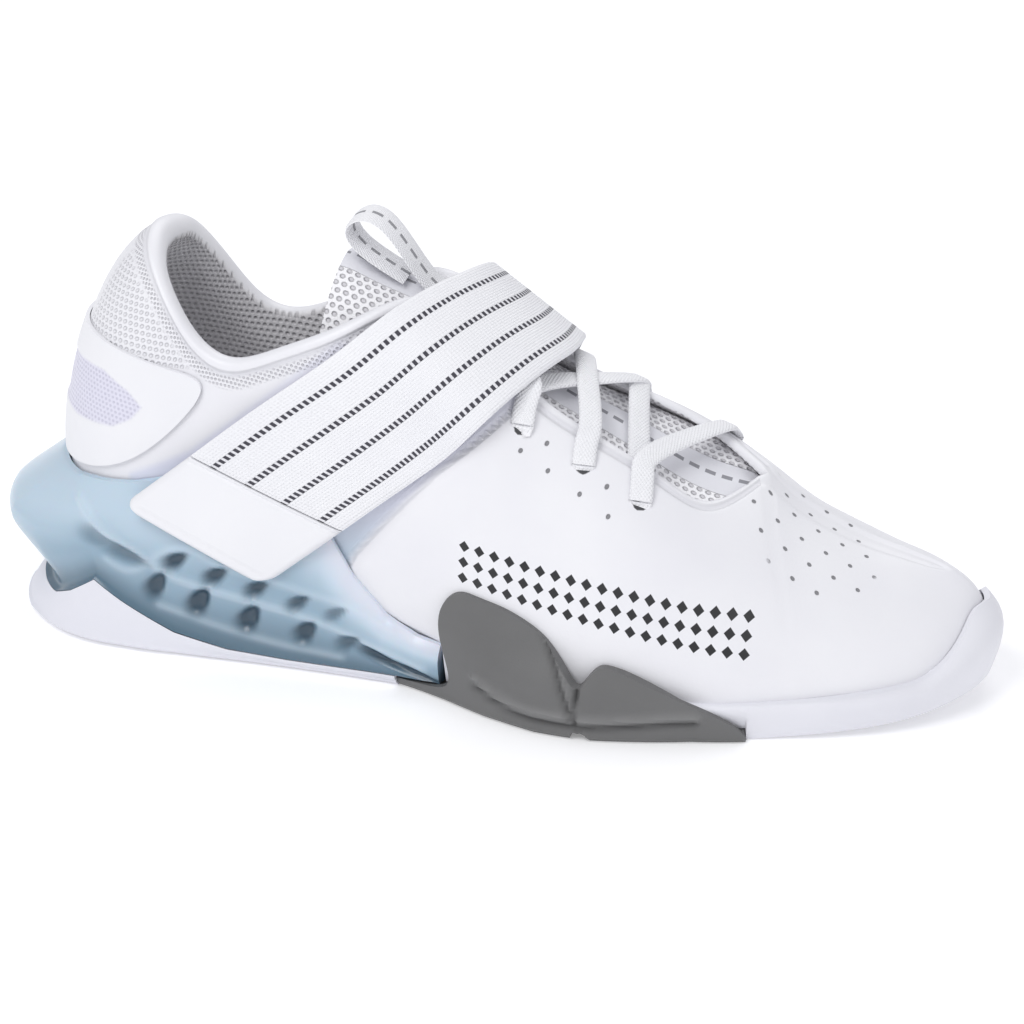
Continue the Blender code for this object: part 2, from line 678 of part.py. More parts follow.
def build_side_wrap(material):
    """The grey rubber under the ball, whose wings climb both sides: a tray cut by its outline."""
    start, end = turn_at(PLATE_FRONT - 5.5 * MM), turn_at(WRAP_FRONT + 6 * MM)
    near = [t for t in np.arange(0, LAST, 0.5) if start + 0.12 < t < end - 0.12]
    turns, pairs = both_sides([start, *near, end])
    side = by_turn(WRAP_SIDE, turns) * OUTRIGGER
    medial = np.where(turns > LAST, 0.55, 1.0)
    side = RUBBER_EDGE + 2 * GAP + WRAP_WALL + (side - RUBBER_EDGE - WRAP_WALL) * medial[:, None]
    rubber = rubber_top(turns)
    heights = (rubber + 2.5 * MM, rubber + 9 * MM, rubber + 18 * MM, rubber + 30 * MM)
    climbs = [np.array([climb_at(t, h) for t, h in zip(turns, level)]) for level in heights]

    def over(level, stand):
        stands = np.broadcast_to(stand, len(turns))
        return np.array([
            layer([t], [c], 0, s)[1][0, 0] for t, c, s in zip(turns, climbs[level], stands)
        ])

    clear = RUBBER_EDGE + 5 * GAP
    rings = [
        ring(turns, side[:, 0] - 1.5 * MM, 0.0),
        ring(turns, side[:, 0], 1.5 * MM),
        ring(turns, side[:, 1], rubber),
        over(1, 3 * GAP + WRAP_WALL + 1 * MM),
        over(2, GAP + WRAP_WALL),
        over(3, GAP + WRAP_WALL * 0.7),
        over(3, CURVED_GAP),
        over(2, 1.2 * CURVED_GAP),
        over(1, 2 * CURVED_GAP),
        over(0, RUBBER_EDGE * 0.6 + 6 * GAP),
        ring(turns, clear + 0.4 * MM, rubber - 1.0 * MM),
        ring(turns, clear, WRAP_FLOOR + 2.0 * MM),
        ring(turns, clear, WRAP_FLOOR),
    ]
    wrap = loop_solid("side_wrap", rings, material, pairs)
    outline = [(LAST_START + x * LAST_LENGTH, z * HEEL_STACK) for x, z in WRAP_OUTLINE]
    cutter = side_prism("side_wrap_outline", outline, -BALL_WIDTH, BALL_WIDTH)
    cut(wrap, cutter, "INTERSECT")
    return wrap


def build_insole(material):
    """The sock liner: it fills the floor inside the upper's wall."""
    turns, pairs = both_sides(list(np.arange(0, LAST + 0.1, 0.5)))
    inset = -(UPPER_WALL + 3 * GAP)
    rings = [
        ring(turns, inset, 0.0),
        ring(turns, inset + 0.2 * MM, INSOLE_THICK * 0.8),
        ring(turns, inset - 0.8 * MM, INSOLE_THICK),
    ]
    for points in rings:
        points[:, 2] += stack_height(points)
    return loop_solid("insole", rings, material, pairs)


# The counter's outline from the side: along the last as a share, height as a share of the way
# from CUP_HEIGHT to COLLAR_HEIGHT.
COUNTER_OUTLINE = [
    (-0.080, 0.065),
    (-0.030, 0.048),
    (0.010, 0.056),
    (0.055, 0.098),
    (0.095, 0.172),
    (0.130, 0.272),
    (0.160, 0.387),
    (0.172, 0.457),
    (0.165, 0.512),
    (0.130, 0.540),
    (0.090, 0.566),
    (0.050, 0.589),
    (0.010, 0.594),
    (-0.080, 0.578),
]


def build_counter(material):
    """The heel counter: a skin round the heel, cut from the upper's own function."""
    turns = np.arange(-5.0, 5.1, 0.5)
    climbs = CLIMBS[2:12]
    low, high = layer(turns, climbs, GAP, GAP + COUNTER_THICK)
    count, rows = low.shape[:2]
    points = np.concatenate([high.reshape(-1, 3), low.reshape(-1, 3)])
    outer = np.arange(count * rows).reshape(count, rows)
    inner = outer + count * rows
    faces = []
    for i in range(count - 1):
        for k in range(rows - 1):
            faces.append((outer[i, k], outer[i + 1, k], outer[i + 1, k + 1], outer[i, k + 1]))
            faces.append((inner[i, k], inner[i, k + 1], inner[i + 1, k + 1], inner[i + 1, k]))
        faces.append((outer[i, 0], inner[i, 0], inner[i + 1, 0], outer[i + 1, 0]))
        faces.append((outer[i, -1], outer[i + 1, -1], inner[i + 1, -1], inner[i, -1]))
    for k in range(rows - 1):
        faces.append((outer[0, k], outer[0, k + 1], inner[0, k + 1], inner[0, k]))
        faces.append((outer[-1, k], inner[-1, k], inner[-1, k + 1], outer[-1, k + 1]))
    counter = mesh_object("heel_counter", points, faces, material)
    outline = [(LAST_START + x * LAST_LENGTH, CUP_HEIGHT + z * (COLLAR_HEIGHT - CUP_HEIGHT)) for x, z in COUNTER_OUTLINE]
    cutter = side_prism("counter_outline", outline, -BALL_WIDTH, BALL_WIDTH)
    cut(counter, cutter, "INTERSECT")
    return counter


def beside(x, height, side, stand):
    """Points standing off the skin of one side, where the skin has a given x and height."""
    turns = np.linspace(0, LAST, 96)
    climbs = np.linspace(0, 1, 61)
    turns = turns if side < 0 else (ROUND - turns) % ROUND
    skin = wall_skin(turns, climbs)
    found = []
    for at_x, at_height, off in np.broadcast(x, height, stand):
        away = (skin[..., 0] - at_x) ** 2 + (skin[..., 2] - at_height) ** 2
        i, k = np.unravel_index(away.argmin(), away.shape)
        turn, climb = turns[i], climbs[k]
        nudge = np.array([0.01, 0.004])
        for _ in range(6):
            here = wall_skin([turn], [climb])[0, 0]
            by_turn_step = (wall_skin([turn + nudge[0]], [climb])[0, 0] - here) / nudge[0]
            by_climb = (wall_skin([turn], [climb + nudge[1]])[0, 0] - here) / nudge[1]
            matrix = np.array([by_turn_step[[0, 2]], by_climb[[0, 2]]]).T
            move = np.linalg.solve(matrix, np.array([at_x, at_height]) - here[[0, 2]])
            turn += float(np.clip(move[0], -0.4, 0.4))
            climb = float(np.clip(climb + np.clip(move[1], -0.1, 0.1), 0.0, 0.995))
        here = wall_skin([turn], [climb, 1.0])[0, 0]
        normal = wall_normals([turn], [climb, 1.0])[0, 0]
        found.append(here + normal * off)
    return np.array(found)


def sheet_solid(name, rows, thickness, material):
    """A band or sheet from a grid of points on its underside: rows run along it."""
    rows = np.asarray(rows)
    along = np.gradient(rows, axis=0)
    across = np.gradient(rows, axis=1)
    normals = unit(np.cross(across, along))
    thickness = np.broadcast_to(thickness, rows.shape[:2])[..., None]
    count, width = rows.shape[:2]
    points = np.concatenate([rows.reshape(-1, 3), (rows + normals * thickness).reshape(-1, 3)])
    low = np.arange(count * width).reshape(count, width)
    high = low + count * width
    faces = []
    for i in range(count - 1):
        for k in range(width - 1):
            faces.append((low[i, k], low[i, k + 1], low[i + 1, k + 1], low[i + 1, k]))
            faces.append((high[i, k], high[i + 1, k], high[i + 1, k + 1], high[i, k + 1]))
    border = [(i, 0) for i in range(count)] + [(count - 1, k) for k in range(1, width)]
    border += [(i, width - 1) for i in range(count - 2, -1, -1)]
    border += [(0, k) for k in range(width - 2, 0, -1)]
    lows = [low[place] for place in border]
    highs = [high[place] for place in border]
    faces += list(strip_faces(lows, highs, closed=True))
    return mesh_object(name, points, faces, material)


# The strap, one row a stretch from the lateral end over the instep to the medial end.
# back and front: the two edges in the side view, along as shares of LAST_LENGTH and heights as
# shares of INSTEP_HEIGHT. side: lateral, medial, or over the top. off_back and off_front: how far
# each edge stands off the skin, in millimetres, or where it lies across, as a share of BALL_WIDTH.
Stretch = namedtuple("Stretch", "side back_along back_high front_along front_high off_back off_front")
STRAP = [
    Stretch(-1, 0.092, 0.420, 0.247, 0.255, 7.6, 6.9),
    Stretch(-1, 0.164, 0.562, 0.336, 0.418, 4.4, 4.2),
    Stretch(-1, 0.240, 0.708, 0.394, 0.522, 2.4, 2.0),
    Stretch(-1, 0.312, 0.838, 0.446, 0.618, 1.5, 2.2),
    Stretch(0, 0.371, 0.950, 0.487, 0.724, -0.256, -0.345),
    Stretch(0, 0.412, 0.996, 0.525, 0.790, -0.130, -0.190),
    Stretch(0, 0.437, 1.004, 0.546, 0.802, -0.020, -0.030),
    Stretch(0, 0.446, 0.985, 0.551, 0.792, 0.095, 0.095),
    Stretch(0, 0.440, 0.932, 0.543, 0.756, 0.203, 0.246),
    Stretch(1, 0.412, 0.810, 0.515, 0.620, 1.6, 2.4),
    Stretch(1, 0.375, 0.660, 0.478, 0.470, 1.4, 1.4),
    Stretch(1, 0.340, 0.540, 0.442, 0.345, 2.4, 1.8),
    Stretch(1, 0.312, 0.450, 0.415, 0.255, 3.4, 2.8),
]
STRAP_ACROSS = (0.0, 0.25, 0.5, 0.75, 1.0)


def strap_rows(places):
    """The strap's underside at places counted in stretches: one row of points a place."""
    base = []
    for row in STRAP:
        back = np.array([LAST_START + row.back_along * LAST_LENGTH, row.back_high * INSTEP_HEIGHT])
        front = np.array([LAST_START + row.front_along * LAST_LENGTH, row.front_high * INSTEP_HEIGHT])
        points = []
        for share in STRAP_ACROSS:
            x, height = back + (front - back) * share
            off = row.off_back + (row.off_front - row.off_back) * share
            if row.side:
                points.append(beside(x, height, row.side, off * MM)[0])
            else:
                points.append(np.array([x, off * BALL_WIDTH, height]))
        base.append(np.array(points))
    base = np.array(base)
    smooth = Spline(range(len(STRAP)), base.reshape(len(STRAP), -1))
    return smooth(places).reshape(len(places), len(STRAP_ACROSS), 3)


def build_strap(webbing, synthetic):
    """The webbing over the instep, and the plain stitched tab at its lateral end."""
    tab_end = 1.0
    tab_places = np.linspace(0.0, tab_end, 5)
    last = len(STRAP) - 1
    places = np.concatenate([[tab_end + 0.015], np.arange(1.5, last + 0.1, 0.5)])
    sheet_solid("strap", strap_rows(places), STRAP_THICK, webbing)
    sheet_solid("strap_tab", strap_rows(tab_places), TAB_THICK, synthetic)


# The turns of the tongue's rows inside the throat, whose edges follow the upper's inner wall.
TONGUE_TURNS = (14.3, 13.4, 12.4, 11.2, 10.0, 9.0, 8.3)
TONGUE_SHARES = np.array([-1, -0.62, -0.38, -0.18, 0, 0.18, 0.38, 0.62, 1])
# The tongue's free rows above the throat: middle along and height, and its edges' along, half
# width and height, in the same shares.
TONGUE_FREE = [
    (0.352, 0.965, 0.345, 0.215, 0.820),
    (0.318, 1.000, 0.300, 0.222, 0.790),
    (0.300, 1.012, 0.284, 0.222, 0.785),
]


def tongue_rows():
    """Points of the tongue's outer face, one row of nine a section."""
    rows = []
    for turn in TONGUE_TURNS:
        pad = UPPER_WALL + CURVED_GAP + (COLLAR_PAD if turn < 9.5 else GAP)
        wings = [
            layer([t], [0.80, 0.93, 1.0], -pad, 0)[0][0] for t in (turn, ROUND - turn)
        ]
        middle = (wings[0][2] + wings[1][2]) / 2 + np.array([0, 0, TONGUE_RISE])
        knots = np.array([wings[0][0], wings[0][1], middle, wings[1][1], wings[1][0]])
        places = [-1, -0.62, 0, 0.62, 1]
        rows.append(np.stack([np.interp(TONGUE_SHARES, places, k) for k in knots.T], axis=1))
    for along, high, edge_along, half, edge_high in TONGUE_FREE:
        angle = TONGUE_SHARES * math.radians(90)
        middle = LAST_START + along * LAST_LENGTH
        edge = LAST_START + edge_along * LAST_LENGTH
        rise = (high - edge_high) * INSTEP_HEIGHT
        rows.append(np.stack([
            edge + (middle - edge) * np.cos(angle),
            half * BALL_WIDTH * np.sin(angle) + 0.01 * BALL_WIDTH,
            edge_high * INSTEP_HEIGHT + rise * np.cos(angle),
        ], axis=1))
    return np.array(rows)


def build_tongue(material):
    """The tongue: a padded sheet under the throat that stands up free above the collar."""
    rows = tongue_rows()
    count = len(rows)
    smooth = Spline(range(count), rows.reshape(count, -1))
    places = np.linspace(0, count - 1, 2 * count - 1)
    grid = smooth(places).reshape(len(places), -1, 3)
    thickness = np.full(grid.shape[:2], TONGUE_THICK)
    thickness[:, 0] = thickness[:, -1] = TONGUE_THICK * 0.5
    thickness[0] = TONGUE_THICK * 0.4
    sheet_solid("tongue", grid, -thickness, material)


# The pull loop's path in the side view: along and height, shares of LAST_LENGTH and INSTEP_HEIGHT.
LOOP = [
    (0.368, 0.960),
    (0.337, 1.000),
    (0.313, 1.040),
    (0.303, 1.082),
    (0.310, 1.113),
    (0.326, 1.125),
    (0.345, 1.108),
    (0.363, 1.062),
    (0.380, 1.006),
    (0.395, 0.962),
    (0.409, 0.938),
]


def build_loop(material):
    """The tape that doubles over the tongue's top as a pull loop."""
    path = Spline(range(len(LOOP)), LOOP)(np.linspace(0, len(LOOP) - 1, 21))
    rows = []
    for along, high in path:
        x, z = LAST_START + along * LAST_LENGTH, high * INSTEP_HEIGHT
        middle = 0.012 * BALL_WIDTH
        rows.append([(x, middle + share * TAPE_WIDTH / 2, z) for share in (-1, 0, 1)])
    sheet_solid("pull_loop", np.array(rows), TAPE_THICK, material)


# The eyelets, front to back: turn and climb on the lateral eyestay, then on the medial one, whose
# turns are counted back from the heel as on the lateral side.
EYELETS = [
    (11.65, 0.79, 12.75, 0.84),
    (10.80, 0.82, 11.15, 0.85),
    (9.85, 0.82, 10.25, 0.85),
]


def eyelet(number, side, off, climb=None):
    """A point off an eyelet, or off the eyestay beside it at another climb."""
    row = EYELETS[number]
    turn, own = row[:2] if side < 0 else row[2:]
    turn = turn if side < 0 else ROUND - turn
    return layer([turn], [climb or own, 1.0], off, off)[0][0, 0]


def drill_eyelets(upper):
    """Round holes through the eyestays, one cutter a hole."""
    for side in (-1, 1):
        for number in range(len(EYELETS)):
            inner, outer = eyelet(number, side, -6 * MM), eyelet(number, side, 6 * MM)
            axis = outer - inner
            work = bmesh.new()
            bmesh.ops.create_cone(
                work, cap_ends=True, segments=10, radius1=EYELET_RADIUS, radius2=EYELET_RADIUS,
                depth=float(np.linalg.norm(axis)),
            )
            name = f"eyelet_{'lateral' if side < 0 else 'medial'}_{number}"
            mesh = bpy.data.meshes.new(name)
            work.to_mesh(mesh)
            work.free()
            drill = bpy.data.objects.new(name, mesh)
            drill.rotation_euler = Vector(axis).to_track_quat("Z", "Y").to_euler()
            drill.location = (inner + outer) / 2
            drill.hide_render = True
            drill.display_type = "WIRE"
            bpy.data.collections["Cutters"].objects.link(drill)
            cut(upper, drill, "DIFFERENCE")


def lace_bar(name, start, end, lift, material):
    """One flat run of lace between two eyelets, bowed over the throat."""
    rest, hop = 4 * GAP, 7 * GAP
    first = [eyelet(*start, rest), eyelet(*start, hop, 0.985)]
    last = [eyelet(*end, hop, 0.985), eyelet(*end, rest)]
    middle = (first[1] + last[0]) / 2 + np.array([0, 0, lift])
    knots = np.array([*first, middle, *last])
    path = Spline([0, 0.22, 0.5, 0.78, 1], knots)(np.linspace(0, 1, 9))
    along = unit(np.gradient(path, axis=0))
    up = unit(np.array([0.35, 0, 1.0]))
    side = unit(np.cross(along, up))
    half = LACE_WIDTH / 2
    rows = np.stack([path - side * half, path, path + side * half], axis=1)
    return sheet_solid(name, rows, LACE_THICK, material)


def build_laces(material):
    """The lace's crossings over the throat, joined where they cross."""
    runs = [((0, -1), (0, 1), 2.0)]
    for number in range(len(EYELETS) - 1):
        runs.append(((number, 1), (number + 1, -1), 2.6))
        runs.append(((number, -1), (number + 1, 1), 3.4))
    laces = None
    for count, (start, end, lift) in enumerate(runs):
        bar = lace_bar(f"lace_run_{count}", start, end, lift * MM, material)
        if laces is None:
            laces = bar
            laces.name = "laces"
            continue
        bpy.data.collections["Weightlifting shoe"].objects.unlink(bar)
        bpy.data.collections["Cutters"].objects.link(bar)
        bar.hide_render = True
        bar.display_type = "WIRE"
        cut(laces, bar, "UNION")


def main():
    clear_scene()
    white = (0.80, 0.80, 0.82)
    upper = build_upper(new_material("upper_synthetic", white, 0.5, 0.1))
    drill_eyelets(upper)
    build_midsole(new_material("midsole_translucent", (0.36, 0.50, 0.60), 0.3, 0.3))
    rubber = new_material("rubber_white", (0.74, 0.74, 0.78), 0.55)
    build_heel_plate(rubber)
    build_forefoot_rubber(rubber)
    build_side_wrap(new_material("rubber_grey", (0.13, 0.13, 0.13), 0.6))
    build_insole(new_material("insole_foam", (0.55, 0.54, 0.58), 0.9))
    build_counter(new_material("counter_synthetic", white, 0.5, 0.1))
    build_strap(
        new_material("strap_webbing", (0.78, 0.78, 0.82), 0.7),
        new_material("tab_synthetic", (0.80, 0.80, 0.83), 0.5),
    )
    build_tongue(new_material("tongue_mesh", (0.72, 0.72, 0.76), 0.9))
    build_loop(new_material("loop_tape", (0.72, 0.72, 0.75), 0.7))
    build_laces(new_material("lace_woven", (0.80, 0.80, 0.82), 0.8))


main()
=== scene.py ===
"""The dressed weightlifting shoe: finer pieces from the same sizes as the solids, with their
materials, lights, floor and camera."""

import math
from collections import namedtuple

import bmesh
import bpy
import numpy as np
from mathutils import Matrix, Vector


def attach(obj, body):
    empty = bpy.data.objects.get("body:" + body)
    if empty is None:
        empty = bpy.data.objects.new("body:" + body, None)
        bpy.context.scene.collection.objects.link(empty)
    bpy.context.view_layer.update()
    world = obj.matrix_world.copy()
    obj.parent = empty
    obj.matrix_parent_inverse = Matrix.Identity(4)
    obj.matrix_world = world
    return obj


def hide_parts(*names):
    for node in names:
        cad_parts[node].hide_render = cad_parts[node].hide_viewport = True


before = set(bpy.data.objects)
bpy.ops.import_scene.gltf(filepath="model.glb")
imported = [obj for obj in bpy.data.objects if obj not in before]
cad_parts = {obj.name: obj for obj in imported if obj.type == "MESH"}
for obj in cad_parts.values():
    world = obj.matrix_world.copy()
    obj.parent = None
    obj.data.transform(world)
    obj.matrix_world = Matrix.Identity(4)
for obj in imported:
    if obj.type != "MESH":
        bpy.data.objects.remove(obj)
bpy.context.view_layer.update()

MM = 0.001

# The last and the upper
LAST_LENGTH = 269.5 * MM
LAST_START = 7.0 * MM
BALL_WIDTH = 92.5 * MM
HEEL_STACK = 29.0 * MM
BALL_STACK = 10.0 * MM
TOE_LIFT = 5.5 * MM
COLLAR_HEIGHT = 124.5 * MM
INSTEP_HEIGHT = 118.0 * MM
TOE_HEIGHT = 37.5 * MM
UPPER_WALL = 2.2 * MM
COLLAR_PAD = 2.6 * MM
HEEL_PAD = 0.9
PANEL_STEP = 1.3 * MM
GAP = 0.3 * MM
CURVED_GAP = 0.65 * MM
TOE_EASE = 0.8 * MM

# The soles
HEEL_FLARE = 25.0 * MM
PLATE_FLOOR = 4.0 * MM
PLATE_EDGE = 2.9 * MM
PLATE_FRONT = LAST_START + 0.3952 * LAST_LENGTH
MIDSOLE_FRONT = LAST_START + 0.449 * LAST_LENGTH
WRAP_FLOOR = 3.4 * MM
WRAP_WALL = 2.0 * MM
OUTRIGGER = 11.0 * MM
WRAP_FRONT = LAST_START + 0.783 * LAST_LENGTH
RUBBER_EDGE = 3.0 * MM
RUBBER_LIP = 2.0 * MM
TOE_RUBBER = 2.4 * MM
TOE_BUMPER = 12.0 * MM
TOE_SPRING = 6.6 * MM

# Insole, tongue, strap and laces
INSOLE_THICK = 4.0 * MM
TONGUE_THICK = 4.0 * MM
TONGUE_RISE = 0.5 * MM
TAPE_WIDTH = 13.0 * MM
TAPE_THICK = 1.2 * MM
COUNTER_THICK = 1.1 * MM
STRAP_THICK = 1.7 * MM
TAB_THICK = 2.3 * MM
LACE_WIDTH = 6.0 * MM
LACE_THICK = 1.5 * MM

# One row a section of the last, from heel to toe. along: place on the last, a share of
# LAST_LENGTH. stand: height of the feather line between BALL_STACK (0) and HEEL_STACK (1), and
# tip: its share of TOE_LIFT. out_side and in_side: half widths of the feather line, shares of
# BALL_WIDTH. edge_*: the top edge, shares of LAST_LENGTH and BALL_WIDTH. high_out and high_in:
# its height, a share of the size named in of. flare, rise: the wall's first handle, outwards as
# a share of BALL_WIDTH and up as a share of the wall's height. shoulder, drop: its second handle,
# measured from the edge.
Row = namedtuple(
    "Row",
    "along stand tip out_side in_side edge_along edge_out edge_in high_out high_in of "
    "flare rise shoulder drop",
)
COLLAR, INSTEP, TOE = COLLAR_HEIGHT, INSTEP_HEIGHT, TOE_HEIGHT
SECTIONS = [
    Row(0.000, 1.00, 0.00, 0.000, 0.000, 0.088, 0.000, 0.000, 0.985, 0.985, COLLAR, 0.176, 0.28, 0.190, 0.04),
    Row(0.012, 1.00, 0.00, 0.140, 0.140, 0.094, 0.110, 0.114, 0.970, 0.972, COLLAR, 0.154, 0.29, 0.166, 0.06),
    Row(0.040, 1.00, 0.00, 0.250, 0.245, 0.108, 0.195, 0.200, 0.925, 0.930, COLLAR, 0.110, 0.31, 0.115, 0.14),
    Row(0.085, 0.97, 0.00, 0.315, 0.310, 0.134, 0.264, 0.264, 0.845, 0.832, COLLAR, 0.080, 0.33, 0.065, 0.24),
    Row(0.140, 0.93, 0.00, 0.340, 0.330, 0.166, 0.305, 0.295, 0.775, 0.735, COLLAR, 0.060, 0.34, 0.036, 0.30),
    Row(0.200, 0.87, 0.00, 0.346, 0.330, 0.207, 0.325, 0.309, 0.752, 0.698, COLLAR, 0.054, 0.34, 0.025, 0.31),
    Row(0.270, 0.75, 0.00, 0.352, 0.315, 0.262, 0.322, 0.310, 0.797, 0.740, COLLAR, 0.054, 0.34, 0.034, 0.30),
    Row(0.345, 0.57, 0.00, 0.363, 0.300, 0.326, 0.280, 0.278, 0.905, 0.868, INSTEP, 0.054, 0.33, 0.070, 0.28),
    Row(0.420, 0.39, 0.00, 0.390, 0.303, 0.396, 0.178, 0.184, 0.966, 0.930, INSTEP, 0.054, 0.31, 0.120, 0.24),
    Row(0.495, 0.22, 0.00, 0.443, 0.345, 0.459, 0.157, 0.162, 0.890, 0.862, INSTEP, 0.054, 0.30, 0.140, 0.20),
    Row(0.570, 0.10, 0.00, 0.490, 0.410, 0.527, 0.162, 0.173, 0.740, 0.738, INSTEP, 0.054, 0.31, 0.150, 0.17),
    Row(0.640, 0.03, 0.00, 0.508, 0.465, 0.597, 0.162, 0.173, 0.642, 0.672, INSTEP, 0.049, 0.32, 0.160, 0.15),
    Row(0.715, 0.00, 0.00, 0.494, 0.490, 0.664, 0.162, 0.168, 0.553, 0.617, INSTEP, 0.043, 0.33, 0.170, 0.13),
    Row(0.775, 0.00, 0.05, 0.460, 0.487, 0.716, 0.140, 0.140, 0.494, 0.560, INSTEP, 0.043, 0.33, 0.165, 0.11),
    Row(0.83, 0.00, 0.15, 0.410, 0.462, 0.764, -0.032, 0.032, 0.524, 0.524, INSTEP, 0.038, 0.32, 0.16, 0.06),
    Row(0.875, 0.00, 0.30, 0.360, 0.420, 0.800, -0.046, 0.046, 1.385, 1.385, TOE, 0.038, 0.33, 0.190, 0.00),
    Row(0.925, 0.00, 0.50, 0.285, 0.345, 0.857, -0.054, 0.054, 1.170, 1.170, TOE, 0.038, 0.36, 0.188, 0.00),
    Row(0.965, 0.00, 0.75, 0.185, 0.240, 0.900, -0.054, 0.054, 1.075, 1.075, TOE, 0.038, 0.40, 0.173, 0.00),
    Row(0.990, 0.00, 0.93, 0.080, 0.130, 0.931, -0.049, 0.049, 1.025, 1.025, TOE, 0.043, 0.45, 0.140, 0.00),
    Row(1.000, 0.00, 1.00, -0.020, 0.020, 0.950, -0.043, 0.043, 1.000, 1.000, TOE, 0.043, 0.50, 0.130, 0.00),
]
LAST = len(SECTIONS) - 1
ROUND = 2 * LAST
THROAT_END = 14


class Spline:
    """A natural or closed cubic through rows of values, read at any place."""

    def __init__(self, places, rows, period=None):
        places = np.asarray(places, float)
        rows = np.asarray(rows, float)
        if rows.ndim == 1:
            rows = rows[:, None]
        self.period = period
        if period:
            wrap = 4
            places = np.concatenate([places[-wrap:] - period, places, places[:wrap] + period])
            rows = np.concatenate([rows[-wrap:], rows, rows[:wrap]])
        count = len(places)
        step = np.diff(places)
        slope = np.diff(rows, axis=0) / step[:, None]
        matrix = np.eye(count)
        bend = np.zeros_like(rows)
        for i in range(1, count - 1):
            matrix[i, i - 1 : i + 2] = step[i - 1], 2 * (step[i - 1] + step[i]), step[i]
            bend[i] = 6 * (slope[i] - slope[i - 1])
        self.places, self.rows, self.bend = places, rows, np.linalg.solve(matrix, bend)

    def __call__(self, place):
        place = np.atleast_1d(np.asarray(place, float))
        if self.period:
            place = place % self.period
        i = np.clip(np.searchsorted(self.places, place) - 1, 0, len(self.places) - 2)
        start, end = self.places[i], self.places[i + 1]
        step = (end - start)[:, None]
        a = (end - place)[:, None] / step
        b = 1 - a
        return (
            a * self.rows[i]
            + b * self.rows[i + 1]
            + ((a**3 - a) * self.bend[i] + (b**3 - b) * self.bend[i + 1]) * step**2 / 6
        )


def smooth_step(value):
    value = np.clip(value, 0.0, 1.0)
    return value * value * (3 - 2 * value)


def unit(vectors):
    return vectors / np.maximum(np.linalg.norm(vectors, axis=-1, keepdims=True), 1e-12)


def foot_row(row, side):
    """The feather point and the wall's handles of one section, lateral (-1) or medial (1)."""
    half = row.out_side if side < 0 else row.in_side
    return (
        LAST_START + row.along * LAST_LENGTH,
        side * half * BALL_WIDTH,
        BALL_STACK + row.stand * (HEEL_STACK - BALL_STACK) + row.tip * TOE_LIFT,
        row.flare * BALL_WIDTH,
        row.rise,
        row.shoulder * BALL_WIDTH,
        row.drop,
    )


def edge_row(row, side):
    half, high = (row.edge_out, row.high_out) if side < 0 else (row.edge_in, row.high_in)
    return (
        LAST_START + row.edge_along * LAST_LENGTH,
        side * half * BALL_WIDTH,
        high * row.of,
    )


FOOT = Spline(
    range(ROUND),
    [foot_row(row, -1) for row in SECTIONS] + [foot_row(row, 1) for row in SECTIONS[-2:0:-1]],
    period=ROUND,
)
COLLAR_EDGE = Spline(
    range(-THROAT_END, THROAT_END + 1),
    [edge_row(row, 1) for row in SECTIONS[THROAT_END:0:-1]]
    + [edge_row(row, -1) for row in SECTIONS[: THROAT_END + 1]],
)
SPINE = Spline(
    range(THROAT_END, LAST + 1), [edge_row(row, 1) for row in SECTIONS[THROAT_END:]]
)


def foot_line(turns):
    """Feather points and the level outward directions there."""
    nudge = 0.02
    place = FOOT(turns)
    ahead = FOOT(np.asarray(turns) + nudge)[:, :2] - FOOT(np.asarray(turns) - nudge)[:, :2]
    ahead = unit(ahead)
    out = np.stack([ahead[:, 1], -ahead[:, 0], np.zeros(len(ahead))], axis=1)
    return place, out


def on_spine(turns):
    turns = np.asarray(turns, float) % ROUND
    return np.minimum(turns, ROUND - turns) >= THROAT_END - 1e-9


def edge_line(turns):
    """Top edge points, and how steeply the spine falls there (0 off the spine)."""
    turns = np.asarray(turns, float) % ROUND
    folded = np.minimum(turns, ROUND - turns)
    signed = np.where(turns <= LAST, folded, -folded)
    vamp = on_spine(turns)
    points = COLLAR_EDGE(np.clip(signed, -THROAT_END, THROAT_END))
    spine = SPINE(np.clip(folded, THROAT_END, LAST))
    nudge = 0.02
    place = np.clip(folded, THROAT_END + nudge, LAST - nudge)
    fall = SPINE(place + nudge) - SPINE(place - nudge)
    slope = np.where(vamp, fall[:, 2] / np.maximum(fall[:, 0], 1e-9), 0.0)
    return np.where(vamp[:, None], spine, points), slope


def wall_points(turns, climbs):
    """The upper's outer surface, one row of points a turn and one column a climb."""
    turns = np.asarray(turns, float)
    climbs = np.asarray(climbs, float)
    foot, out = foot_line(turns)
    edge, slope = edge_line(turns)
    high = edge[:, 2] - foot[:, 2]
    start = foot[:, :3]
    first = start + out * foot[:, 3:4]
    first[:, 2] += foot[:, 4] * high
    second = edge + out * foot[:, 5:6]
    second[:, 2] += out[:, 0] * slope * foot[:, 5] - foot[:, 6] * high
    v = climbs[None, :, None]
    return (
        (1 - v) ** 3 * start[:, None]
        + 3 * v * (1 - v) ** 2 * first[:, None]
        + 3 * v**2 * (1 - v) * second[:, None]
        + v**3 * edge[:, None]
    )


def wall_normals(turns, climbs):
    nudge_turn, nudge_climb = 0.03, 0.01
    turns = np.asarray(turns, float)
    meets = np.asarray(climbs)[-1] > 0.99
    climbs = np.clip(climbs, 0.0, 0.985)

    def raw(turns):
        along = wall_points(turns + nudge_turn, climbs) - wall_points(turns - nudge_turn, climbs)
        up = wall_points(turns, climbs + nudge_climb) - wall_points(turns, climbs - nudge_climb)
        return unit(np.cross(along, up))

    normals = raw(turns)
    joined = on_spine(turns) & meets
    normals[joined, -1] = unit(normals[joined, -1] + raw((ROUND - turns) % ROUND)[joined, -1])
    return normals


